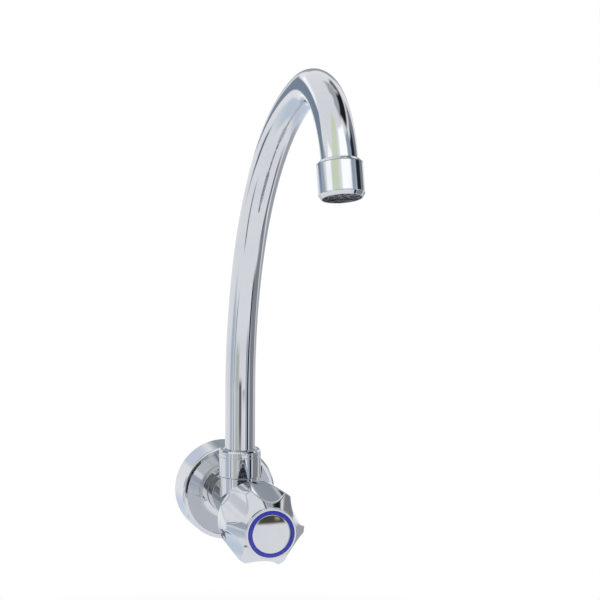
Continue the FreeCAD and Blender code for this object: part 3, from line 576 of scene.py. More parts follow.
@dataclass(frozen=True)
class Finish:
    """A procedural finish: two close tones, a span of roughness and a fine relief."""

    name: str
    slot: Slot
    light: Colour
    dark: Colour
    metallic: float
    roughness: tuple[float, float]
    pattern: Pattern
    scale: float
    relief: float
    axis: Axis = Axis.NECK
    coat: float = 0.0
    coat_roughness: float = 0.08
    smears: float = 45.0

    def material(self, reliefs: Reliefs) -> bpy.types.Material:
        """Build the finish.

        Args:
            reliefs: The shared shader groups.

        Returns:
            The material, built once for its name.
        """
        if self.name in bpy.data.materials:
            return bpy.data.materials[self.name]
        material = bpy.data.materials.new(self.name)
        material.use_nodes = True
        tree = Tree(material.node_tree)
        place = tree.add("ShaderNodeTexCoord").outputs["Object"]
        back = Matrix(self.axis.matrix()).to_3x3().inverted().to_euler()
        along = tree.add("ShaderNodeMapping", {"Vector": place, "Rotation": tuple(back)}).outputs["Vector"]
        relief, smear = (
            tree.add("ShaderNodeGroup", {"Vector": along, "Scale": scale}, node_tree=group).outputs
            for group, scale in ((reliefs.groups[self.pattern], self.scale), (reliefs.handling, self.smears))
        )
        tone = tree.math("MULTIPLY", relief["Tone"], smear["Tone"])
        tones = {"Factor": tone, "A": (*self.light, 1), "B": (*self.dark, 1)}
        low, high = self.roughness
        rough = tree.add("ShaderNodeMapRange", {"Value": tone, "To Min": low, "To Max": high})
        bump = tree.add("ShaderNodeBump", {"Height": relief["Height"], "Distance": self.relief * MM})
        tree.feed(material.node_tree.nodes["Principled BSDF"], {
            "Base Color": tree.add("ShaderNodeMix", tones, data_type="RGBA").outputs["Result"],
            "Roughness": rough.outputs["Result"],
            "Normal": bump.outputs["Normal"],
            "Metallic": self.metallic,
            "Coat Weight": self.coat,
            "Coat Roughness": self.coat_roughness,
        })
        return material


CHROME_LIGHT: Colour = (0.64, 0.66, 0.7)
CHROME_DARK: Colour = (0.58, 0.6, 0.645)
CHROME_ROUGHNESS = (0.025, 0.07)


def chrome(name: str, pattern: Pattern, scale: float, relief: float, axis: Axis) -> Finish:
    """Bright nickel-chrome plate over a base made in one way or another."""
    return Finish(name, Slot.CHROME, CHROME_LIGHT, CHROME_DARK, 1.0, CHROME_ROUGHNESS, pattern, scale, relief, axis)


CAST_CHROME = chrome("chrome_on_casting", Pattern.POLISHED, 55.0, 0.02, Axis.HANDLE)
TUBE_CHROME = chrome("chrome_on_drawn_tube", Pattern.POLISHED, 35.0, 0.012, Axis.NECK)
SHEET_CHROME = chrome("chrome_on_spun_sheet", Pattern.TURNED, 900.0, 0.0002, Axis.HANDLE)
NUT_CHROME = chrome("chrome_on_turned_nut", Pattern.TURNED, 1100.0, 0.0003, Axis.NECK)
OUTLET_CHROME = chrome("chrome_on_turned_outlet", Pattern.TURNED, 1100.0, 0.0003, Axis.OUTLET)
HEADWORK_CHROME = chrome("chrome_on_headwork", Pattern.TURNED, 1400.0, 0.0006, Axis.HANDLE)
DULL = Finish("dull_plate_inside", Slot.CHROME, (0.56, 0.57, 0.6), (0.45, 0.46, 0.49), 0.4, (0.42, 0.56),
              Pattern.MOULDED, 700.0, 0.01, Axis.HANDLE)
BRASS = Finish("machined_brass", Slot.BRASS, (0.78, 0.6, 0.28), (0.6, 0.42, 0.16), 1.0, (0.2, 0.36), Pattern.TURNED,
               1600.0, 0.004, Axis.HANDLE)
RUBBER = Finish("seal_rubber", Slot.RUBBER, (0.032, 0.032, 0.034), (0.018, 0.018, 0.019), 0.0, (0.55, 0.75),
                Pattern.MOULDED, 2200.0, 0.01)
STEEL = Finish("spring_steel", Slot.STEEL, (0.62, 0.62, 0.63), (0.45, 0.45, 0.47), 1.0, (0.22, 0.4), Pattern.TURNED,
               2000.0, 0.003)
NYLON = Finish("white_nylon", Slot.NYLON, (0.86, 0.85, 0.81), (0.76, 0.74, 0.68), 0.0, (0.38, 0.52), Pattern.MOULDED,
               1800.0, 0.006)
FIBRE = Finish("red_fibre", Slot.FIBRE, (0.47, 0.13, 0.085), (0.3, 0.07, 0.05), 0.0, (0.7, 0.9), Pattern.MOULDED,
               1200.0, 0.03)
BLUE = Finish("index_blue", Slot.BLUE, (0.03, 0.033, 0.3), (0.02, 0.022, 0.22), 0.0, (0.22, 0.34), Pattern.MOULDED,
              1500.0, 0.002, Axis.HANDLE, 0.6)
PLASTIC = Finish("grey_plastic", Slot.PLASTIC, (0.13, 0.12, 0.145), (0.09, 0.085, 0.105), 0.0, (0.4, 0.55),
                 Pattern.MOULDED, 2000.0, 0.006)


class Workshop:
    """Turns meshes into finished pieces and keeps the shared reliefs."""

    def __init__(self) -> None:
        """Build the reliefs."""
        self.reliefs = Reliefs()

    def fit(self, mesh: bpy.types.Mesh, body: Body, finish: Finish, *nodes: str) -> bpy.types.Object:
        """Dress a mesh, set it on its body and let it stand for CAD nodes.

        Args:
            mesh: The finished mesh, in place.
            body: Body that it moves with.
            finish: Its finish.
            nodes: CAD nodes that it stands for.

        Returns:
            The piece.
        """
        piece = new_object(mesh.name, mesh)
        mesh.materials.clear()
        mesh.materials.append(finish.material(self.reliefs))
        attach(piece, body.value)
        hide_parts(*nodes)
        LOG.info("%s: %d faces, %s, on %s", piece.name, len(mesh.polygons), finish.name, body.value)
        return piece

    def line(self, piece: bpy.types.Object, finish: Finish, hollow: Hollow) -> None:
        """Give the hollow of a piece on the handle's axis a finish of its own.

        Args:
            piece: The piece, already fitted.
            finish: Finish of its hollow.
            hollow: Tells which faces lie there, from their radius and place along the axis, and from the parts of
                their normals that point outwards and forwards.
        """
        mesh = piece.data
        mesh.materials.append(finish.material(self.reliefs))
        turn = Axis.HANDLE.matrix()[:3, :3]
        centres = np.array([face.center for face in mesh.polygons]) @ turn / MM
        normals = np.array([face.normal for face in mesh.polygons]) @ turn
        radius = np.hypot(centres[:, 0], centres[:, 1])
        outward = (centres[:, :2] * normals[:, :2]).sum(1) / np.maximum(radius, AXIS_RADIUS)
        inside = hollow(radius, centres[:, 2], outward, normals[:, 2])
        mesh.polygons.foreach_set("material_index", inside.astype(np.int32))
        LOG.info("%s: %d faces inside, %s", piece.name, inside.sum(), finish.name)

    def coat(self, node: str, finish: Finish) -> None:
        """Give a carried-over CAD node its finish.

        Args:
            node: Name of the node.
            finish: Its finish.
        """
        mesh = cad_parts[node].data
        mesh.materials.clear()
        mesh.materials.append(finish.material(self.reliefs))
        LOG.info("%s: CAD node, %s", node, finish.name)

    @staticmethod
    def recipe(name: str, sizes: dict[str, Any]) -> tuple[Tree, dict[str, bpy.types.NodeSocket]]:
        """Start a Geometry Nodes tree.

        Args:
            name: Name of the tree.
            sizes: Its named inputs, whose values give their kinds.

        Returns:
            The tree and its input sockets by name.
        """
        tree = Tree(bpy.data.node_groups.new(name, "GeometryNodeTree"))
        tree.socket("Geometry", "INPUT", "Geometry")
        for label, size in sizes.items():
            kind = "Int" if isinstance(size, int) else "Material" if isinstance(size, bpy.types.Material) else "Float"
            tree.socket(label, "INPUT", kind)
        tree.socket("Geometry", "OUTPUT", "Geometry")
        outputs = tree.add("NodeGroupInput").outputs
        return tree, {socket.name: socket for socket in outputs if socket.name}

    @staticmethod
    def serve(tree: Tree, geometry: bpy.types.NodeSocket, material: bpy.types.NodeSocket) -> None:
        """End a tree in real geometry with its material.

        Args:
            tree: The tree.
            geometry: What it has made.
            material: Its input for the material.
        """
        real = tree.add("GeometryNodeRealizeInstances", {"Geometry": geometry})
        dressed = tree.add("GeometryNodeSetMaterial", {"Geometry": real.outputs[0], "Material": material})
        tree.add("NodeGroupOutput", {0: dressed.outputs[0]})

    @staticmethod
    def cook(base: bpy.types.Mesh, tree: Tree, sizes: dict[str, Any]) -> bpy.types.Mesh:
        """Run a Geometry Nodes tree on a mesh.

        Args:
            base: The mesh that the tree starts from.
            tree: The tree.
            sizes: Values of its named inputs.

        Returns:
            A plain mesh of the result, under the base's name.
        """
        carrier = new_object(f"{base.name}_carrier", base)
        modifier = carrier.modifiers.new("recipe", "NODES")
        modifier.node_group = tree.tree
        for item in tree.tree.interface.items_tree:
            if item.in_out == "INPUT" and item.name in sizes:
                modifier[item.identifier] = sizes[item.name]
        return plain_mesh(carrier, base.name)


@dataclass(frozen=True)
class WallFlange:
    """Deep cup of spun sheet with a dished face and a hub ring, dull where it faces the wall or its own hollow."""

    back_radius: float = 30.2
    rim_radius: float = 29.1
    depth: float = 20.0
    wall: float = 1.0
    edge: float = 1.4
    dish_front: float = 14.6
    hub_radius: float = 16.5
    hub_front: float = 16.2
    hub_back: float = 11.0
    hub_bore: float = 12.87
    dull_forward: float = -0.3
    dull_outward: float = -0.8

    def build(self, shop: Workshop) -> None:
        """Turn the cup and fit it.

        Args:
            shop: Where it is dressed.
        """
        shoulder = self.rim_radius - 2 * self.edge
        inside = self.hub_radius - self.wall
        floor = self.depth - self.wall
        shell = lathe([
            Corner(self.back_radius, 0, 0.25),
            Corner(self.rim_radius, self.depth, self.edge),
            Corner(shoulder, self.depth, 0.5),
            Corner(self.hub_radius, self.dish_front, 0.6),
            Corner(self.hub_radius, self.hub_front, 0.5),
            Corner(self.hub_bore, self.hub_front, 0.3),
            Corner(self.hub_bore, self.hub_back),
            Corner(inside, self.hub_back),
            Corner(inside, self.dish_front - self.wall, 0.4),
            Corner(shoulder, floor, 0.4),
            Corner(self.rim_radius - self.wall, floor, 0.4),
            Corner(self.back_radius - self.wall, 0, 0.2),
        ], sides=FINE_SIDES)
        cup = shop.fit(shell.mesh("flange_cup", Axis.HANDLE), Body.TAP, SHEET_CHROME, "wall_flange")
        shop.line(cup, DULL, lambda radius, along, outward, forward: (
            (forward < self.dull_forward) | (outward < self.dull_outward) & (along < floor)
        ))


@dataclass(frozen=True)
class TapCasting:
    """Cast body: threaded inlet shank, barrel, and a neck that grows out of it with a soft root.

    The parts of its surface meet in laps, short plain stretches whose rows share their places.
    """

    shank_radius: float = 10.4775
    shank_reach: float = 14.0
    lead_in: float = 1.2
    water_bore: float = 7.0
    thread_pitch: float = 1.814
    thread_depth: float = 1.1
    thread_start: float = 1.3
    thread_front: float = 5.5
    thread_fade: float = 1.5
    thread_lap: float = 0.3
    thread_rest: float = 0.1
    thread_rows: int = 14
    flank_slope: float = 2.4
    flank_land: float = 0.1
    barrel_back: float = 8.0
    barrel_front: float = 72.0
    barrel_radius: float = 12.8
    barrel_rows: int = 33
    back_lap: float = 0.6
    front_lap: float = 0.75
    mouth_radius: float = 10.5
    mouth_floor: float = 59.0
    chamber_radius: float = 9.6
    chamber_floor: float = 38.3
    seat_rim: float = 7.2
    seat_front: float = 39.5
    seat_bore: float = 6.0
    seat_back: float = 35.5
    neck_front: float = LINE.neck
    neck_radius: float = 12.0
    neck_root: float = 1.2
    neck_shoulder: float = 17.2
    neck_lap: float = 0.5
    root_steps: int = 8
    root_margin: float = 0.25
    spigot_radius: float = 11.2
    spigot_top: float = 27.0
    socket_radius: float = 9.37
    socket_floor: float = 14.5
    bare_radius: float = 9.5
    bare_outward: float = -0.5

    def thread(self, radius: np.ndarray, turn: np.ndarray, along: np.ndarray) -> np.ndarray:
        """Measure from the right-hand pipe thread, which fades out at both ends.

        Args:
            radius: Radius of each spot.
            turn: Its turn about the axis.
            along: Its place along the axis.

        Returns:
            The distance outside the thread.
        """
        phase = (along / self.thread_pitch - turn / (2 * math.pi)) % 1.0
        flank = np.clip(self.flank_slope * np.abs(phase - 0.5) - self.flank_land, 0, 1)
        flank = flank * flank * (3 - 2 * flank)
        start = self.thread_start - self.shank_reach
        fade = np.clip((along - start) / self.thread_fade, 0, 1)
        fade = fade * np.clip((self.thread_front - along) / self.thread_fade, 0, 1)
        return radius - self.shank_radius + self.thread_depth * fade * flank

    def lathe_part(self) -> Shell:
        """Turn all that is round about the inlet axis, apart from the barrel's outside.

        Returns:
            The surface, open where the barrel's outside joins it.
        """
        end = -self.shank_reach
        core = turned_rows([
            Corner(self.barrel_radius, self.barrel_front - self.front_lap),
            Corner(self.barrel_radius, self.barrel_front, 0.6),
            Corner(self.mouth_radius, self.barrel_front),
            Corner(self.mouth_radius, self.mouth_floor),
            Corner(self.chamber_radius, self.mouth_floor),
            Corner(self.chamber_radius, self.chamber_floor),
            Corner(self.seat_rim, self.chamber_floor),
            Corner(self.seat_rim, self.seat_front),
            Corner(self.seat_bore, self.seat_front),
            Corner(self.seat_bore, self.seat_back),
            Corner(self.water_bore, self.seat_back),
            Corner(self.water_bore, end, 0.4),
            Corner(self.shank_radius - self.lead_in, end, 0.2),
            Corner(self.shank_radius, end + self.lead_in, 0.1),
            Corner(self.shank_radius, end + (self.lead_in + self.thread_start) / 2),
        ])
        rows = self.thread_pitch / self.thread_rows
        alongs = np.arange(end + self.thread_start, self.thread_front + self.thread_rest, rows)
        step = turned_rows([
            Corner(self.shank_radius, self.thread_front + self.thread_lap),
            Corner(self.shank_radius, self.barrel_back, 0.3),
            Corner(self.barrel_radius, self.barrel_back, 0.5),
            Corner(self.barrel_radius, self.barrel_back + self.back_lap),
        ])
        return ring_shell(*stacked(core, carved_rows(self.thread, alongs), step), False)

    def root_rows(self) -> Rows:
        """Roll the fillet between neck and barrel, from the neck down to the barrel.

        Returns:
            Rows of points and of normals on the handle's axis, with Y up.
        """
        angles = np.linspace(0, 2 * math.pi, SIDES, endpoint=False)
        reach, rise = self.neck_radius + self.neck_root, self.barrel_radius + self.neck_root
        across, ahead = reach * np.cos(angles), reach * np.sin(angles)
        centre = np.stack((across, np.sqrt(rise**2 - across**2), self.neck_front - ahead), -1)
        to_neck = np.stack((-np.cos(angles), 0 * angles, np.sin(angles)), -1)
        to_barrel = np.stack((-centre[:, 0], -centre[:, 1], 0 * angles), -1) / rise
        bend = np.arccos(np.clip((to_neck * to_barrel).sum(-1, keepdims=True), -1, 1))
        rows, normals = [], []
        for share in np.linspace(0, 1, self.root_steps + 1):
            aim = (np.sin((1 - share) * bend) * to_neck + np.sin(share * bend) * to_barrel) / np.sin(bend)
            rows.append(centre + self.neck_root * aim)
            normals.append(-aim)
        return np.array(rows), np.array(normals)

    def neck_part(self) -> Shell:
        """Make the neck, its spigot and socket, and the fillet at its root.

        Returns:
            The surface, open where the barrel's outside joins it.
        """
        rows, normals = turned_rows([
            Corner(self.neck_radius, self.neck_shoulder - self.neck_lap),
            Corner(self.neck_radius, self.neck_shoulder, 0.3),
            Corner(self.spigot_radius, self.neck_shoulder),
            Corner(self.spigot_radius, self.spigot_top, 0.4),
            Corner(self.socket_radius, self.spigot_top),
            Corner(self.socket_radius, self.socket_floor),
            Corner(0, self.socket_floor),
        ])
        upright = np.array(((1, 0, 0), (0, 0, 1), (0, -1, 0)), float)
        neck = rows @ upright.T + (0, 0, self.neck_front), normals @ upright.T
        root, root_normals = self.root_rows()
        return ring_shell(*stacked((root[::-1], root_normals[::-1]), neck), False)

    def barrel_part(self) -> Shell:
        """Lay the barrel's outside flat, with the neck's opening in it, and join it into triangles.

        Returns:
            The surface, rolled up again.
        """
        radius = self.barrel_radius
        alongs = np.linspace(self.barrel_back + self.back_lap, self.barrel_front - self.front_lap, self.barrel_rows)
        turns = np.linspace(-math.pi, math.pi, SIDES + 1) * radius
        flat = np.stack(np.meshgrid(alongs, turns, indexing="ij"), -1).reshape(-1, 2)
        reach, rise = self.neck_radius + self.neck_root, radius + self.neck_root
        across = rise * np.sin(np.clip(flat[:, 1] / radius, -math.pi / 2, math.pi / 2))
        opening = np.hypot(across, flat[:, 0] - self.neck_front) < reach + self.root_margin
        opening &= np.abs(flat[:, 1]) < radius * math.asin(reach / rise) + self.root_margin
        root = self.root_rows()[0][-1]
        hole = np.stack((root[:, 2], radius * np.arctan2(root[:, 0], root[:, 1])), -1)
        flat = [Vector(spot) for spot in np.vstack((hole, flat[~opening]))]
        rim = [(index, (index + 1) % SIDES) for index in range(SIDES)]
        spots, _, triangles, sources, *_ = delaunay_2d_cdt(flat, rim, [], 0, POINT_WIDTH)
        spots, triangles = np.array(spots), np.array(triangles)
        on_rim = np.array([min(source) < SIDES for source in sources])
        triangles = triangles[~on_rim[triangles].all(1)]
        turn = spots[:, 1] / radius
        normals = np.stack((np.sin(turn), np.cos(turn), 0 * turn), -1)
        points = normals * radius + np.stack((0 * turn, 0 * turn, spots[:, 0]), -1)
        a, b, c = (points[triangles[:, corner]] for corner in range(3))
        outward = (np.cross(b - a, c - a) * normals[triangles[:, 0]]).sum(-1) > 0
        faces = [tuple(face if keep else face[::-1]) for face, keep in zip(triangles.tolist(), outward)]
        return Shell(points, faces, normals)

    def build(self, shop: Workshop) -> None:
        """Join the parts of the casting and fit it.

        Args:
            shop: Where it is dressed.
        """
        shell = (self.lathe_part() + self.neck_part() + self.barrel_part()).welded()
        casting = shop.fit(shell.mesh("tap_casting", Axis.HANDLE), Body.TAP, CAST_CHROME, "tap_body")
        shop.line(casting, BRASS, lambda radius, along, outward, forward: (
            (radius < self.bare_radius) & (outward < self.bare_outward)
        ))


@dataclass(frozen=True)
class Headwork:
    """Screwed headwork in the barrel's front: a chamfered hexagon and a round nose."""

    back: float = 59.0
    hex_back: float = 73.0
    hex_front: float = 80.0
    hex_rows: int = 57
    flats: float = 22.0
    corner_blend: float = 0.3
    chamfer_blend: float = 0.15
    face_radius: float = 10.7
    face_lap: float = 0.1
    spigot_radius: float = 10.4
    nose_radius: float = 8.5
    nose_front: float = 97.0
    nose_bore: float = 5.05
    guide_radius: float = 7.75
    shoulder: float = 79.4

    def hexagon(self, radius: np.ndarray, turn: np.ndarray, along: np.ndarray) -> np.ndarray:
        """Measure from the hexagon, whose front corners are turned off.

        Args:
            radius: Radius of each spot.
            turn: Its turn about the axis.
            along: Its place along the axis.

        Returns:
            The distance outside the hexagon.
        """
        sixth = math.pi / 3
        fold = (turn + sixth / 2) % sixth - sixth / 2
        flat = radius * np.cos(fold) - self.flats / 2
        beside = radius * np.cos(sixth - np.abs(fold)) - self.flats / 2
        cone = (radius - self.face_radius - (self.hex_front - along) * math.sqrt(3)) / 2
        return blunt_max(blunt_max(flat, beside, self.corner_blend), cone, self.chamfer_blend)

    def build(self, shop: Workshop) -> None:
        """Carve the hexagon, turn the rest and fit the headwork.

        Args:
            shop: Where it is dressed.
        """
        inner = turned_rows([
            Corner(self.face_radius - self.face_lap, self.hex_front),
            Corner(self.nose_radius, self.hex_front, 0.4),
            Corner(self.nose_radius, self.nose_front, 0.8),
            Corner(self.nose_bore, self.nose_front),
            Corner(self.nose_bore, self.shoulder),
            Corner(self.guide_radius, self.shoulder),
            Corner(self.guide_radius, self.back),
            Corner(self.spigot_radius, self.back, 0.5),
            Corner(self.spigot_radius, self.hex_back),
            Corner(self.face_radius - self.face_lap, self.hex_back),
        ], sides=FINE_SIDES)
        outer = carved_rows(self.hexagon, np.linspace(self.hex_back, self.hex_front, self.hex_rows), FINE_SIDES)
        mesh = ring_shell(*stacked(inner, outer), True).mesh("headwork_hexagon", Axis.HANDLE)
        shop.fit(mesh, Body.TAP, HEADWORK_CHROME, "headwork_bonnet")


@dataclass(frozen=True)
class LobedKnob:
    """Hollow knob: six tilted scoops leave six lobes between a round rim and a bezel with a blue index ring."""

    back: float = 84.5
    rear_radius: float = 22.0
    rear_plain: float = 1.0
    rear_lap: float = 0.1
    tip: float = 109.5
    tip_radius: float = 23.1
    bezel_back: float = 121.7
    bezel_radius: float = 14.8
    bezel_lap: float = 0.04
    front: float = 123.9
    recess: float = 121.3
    rim_round: float = 0.9
    rear_bore: float = 19.2
    bore: float = 16.0
    bore_front: float = 105.5
    crown_radius: float = 11.5
    crown_front: float = 112.0
    hub_radius: float = 7.5
    hub_back: float = 100.0
    socket_radius: float = 5.05
    web_back: float = 113.1
    web_front: float = 116.5
    screw_hole: float = 2.0
    pocket_radius: float = 5.0
    scoop_radius: float = 17.6
    scoop_floor: float = 18.0
    scoop_tilt: float = 6.9
    scoops: int = 6
    rest_turn: float = -5.0
    ridge: float = 0.5
    rows: int = 124
    sides: int = 384
    dull_depth: float = 0.3
    ring_radius: float = 13.2
    ring_inner: float = 11.2
    ring_front: float = 124.25
    ring_gap: float = 0.07
    cap_radius: float = 11.1
    cap_edge: float = 124.1
    cap_front: float = 124.65
    cap_round: float = 0.35
    cap_drop: float = 0.32
    edge_steps: int = 6
    dome_steps: int = 14
    stud_inner: float = 4.1
    stud_outer: float = 4.9
    stud_depth: float = 1.4

    def rear_slope(self) -> float:
        """How fast the knob widens from its rear rim to its tips."""
        return (self.tip_radius - self.rear_radius) / (self.tip - self.back)

    def surface(self, radius: np.ndarray, turn: np.ndarray, along: np.ndarray) -> np.ndarray:
        """Measure from the knob's carved outside.

        Args:
            radius: Radius of each spot.
            turn: Its turn about the axis.
            along: Its place along the axis.

        Returns:
            The distance outside the knob.
        """
        ahead, rear_slope = along - self.tip, self.rear_slope()
        front_slope = (self.tip_radius - self.bezel_radius) / (self.bezel_back - self.tip)
        rear = (radius - self.tip_radius - ahead * rear_slope) / math.hypot(1, rear_slope)
        front = (radius - self.tip_radius + ahead * front_slope) / math.hypot(1, front_slope)
        step = 2 * math.pi / self.scoops
        fold = (turn - math.radians(self.rest_turn)) % step - step / 2
        tilt = math.radians(self.scoop_tilt)
        rise = (radius * np.cos(fold) - self.scoop_floor) * math.cos(tilt) + ahead * math.sin(tilt)
        scoop = self.scoop_radius - np.hypot(rise - self.scoop_radius, radius * np.sin(fold))
        return blunt_max(blunt_max(rear, front, self.ridge), scoop, self.ridge)

    def shell(self) -> Shell:
        """Make the knob's carved outside, its bezel, recess and hollow back.

        Returns:
            The closed surface.
        """
        rear = self.back + self.rear_plain
        recess_radius = self.ring_radius + self.ring_gap
        inner = turned_rows([
            Corner(self.bezel_radius, self.bezel_back + self.bezel_lap),
            Corner(self.bezel_radius, self.front, 0.6),
            Corner(recess_radius, self.front, 0.25),
            Corner(recess_radius, self.recess),
            Corner(self.pocket_radius, self.recess),
            Corner(self.pocket_radius, self.web_front),
            Corner(self.screw_hole, self.web_front),
            Corner(self.screw_hole, self.web_back),
            Corner(self.socket_radius, self.web_back),
            Corner(self.socket_radius, self.hub_back),
            Corner(self.hub_radius, self.hub_back, 0.4),
            Corner(self.hub_radius, self.crown_front, 1.0),
            Corner(self.crown_radius, self.crown_front, 1.0),
            Corner(self.bore, self.bore_front, 1.5),
            Corner(self.rear_bore, self.back, 0.5),
            Corner(self.rear_radius, self.back, self.rim_round),
            Corner(self.rear_radius + self.rear_plain * self.rear_slope(), rear),
        ], sides=self.sides)
        alongs = np.linspace(rear + self.rear_lap, self.bezel_back - self.bezel_lap, self.rows)
        return ring_shell(*stacked(inner, carved_rows(self.surface, alongs, self.sides)), True)

    def ring(self) -> Shell:
        """Turn the index ring, which slopes up to the cap.

        Returns:
            The closed surface.
        """
        return lathe([
            Corner(self.ring_inner, self.recess),
            Corner(self.ring_radius, self.recess),
            Corner(self.ring_radius, self.front, 0.3),
            Corner(self.ring_inner, self.ring_front, 0.3),
        ], sides=FINE_SIDES)

    def cap(self) -> Shell:
        """Turn the plain domed cap with the stud that holds it.

        Returns:
            The closed surface.
        """
        rise = self.cap_front - self.cap_edge
        bulge = (self.cap_radius**2 + rise**2) / (2 * rise)
        shoulder = self.cap_radius - self.cap_round
        top = 90 - math.degrees(math.asin(shoulder / bulge))
        stud_end = self.recess - self.stud_depth
        return lathe([
            Corner(0, self.recess),
            Corner(self.stud_inner, self.recess),
            Corner(self.stud_inner, stud_end),
            Corner(self.stud_outer, stud_end),
            Corner(self.stud_outer, self.recess),
            Corner(self.cap_radius, self.recess),
            *arc((shoulder, self.cap_edge - self.cap_drop), self.cap_round, 0, top, self.edge_steps),
            *arc((0, self.cap_front - bulge), bulge, top, 90, self.dome_steps)[1:-1],
            Corner(0, self.cap_front, smooth=True),
        ], closed=False, sides=FINE_SIDES)

    def build(self, shop: Workshop) -> None:
        """Fit the knob, its index ring and its cap.

        Args:
            shop: Where they are dressed.
        """
        knob = shop.fit(self.shell().mesh("lobed_knob", Axis.HANDLE), Body.HANDLE, CAST_CHROME, "handle_knob")
        alongs = (self.back, self.bore_front, self.crown_front, self.recess)
        bores = (self.rear_bore, self.bore, self.crown_radius, self.pocket_radius)
        shop.line(knob, DULL, lambda radius, along, outward, forward: (
            radius < np.interp(along, alongs, bores) + self.dull_depth
        ))
        shop.fit(self.ring().mesh("blue_index_ring", Axis.HANDLE), Body.HANDLE, BLUE, "index_ring")
        shop.fit(self.cap().mesh("plain_index_cap", Axis.HANDLE), Body.HANDLE, CAST_CHROME, "index_cap")


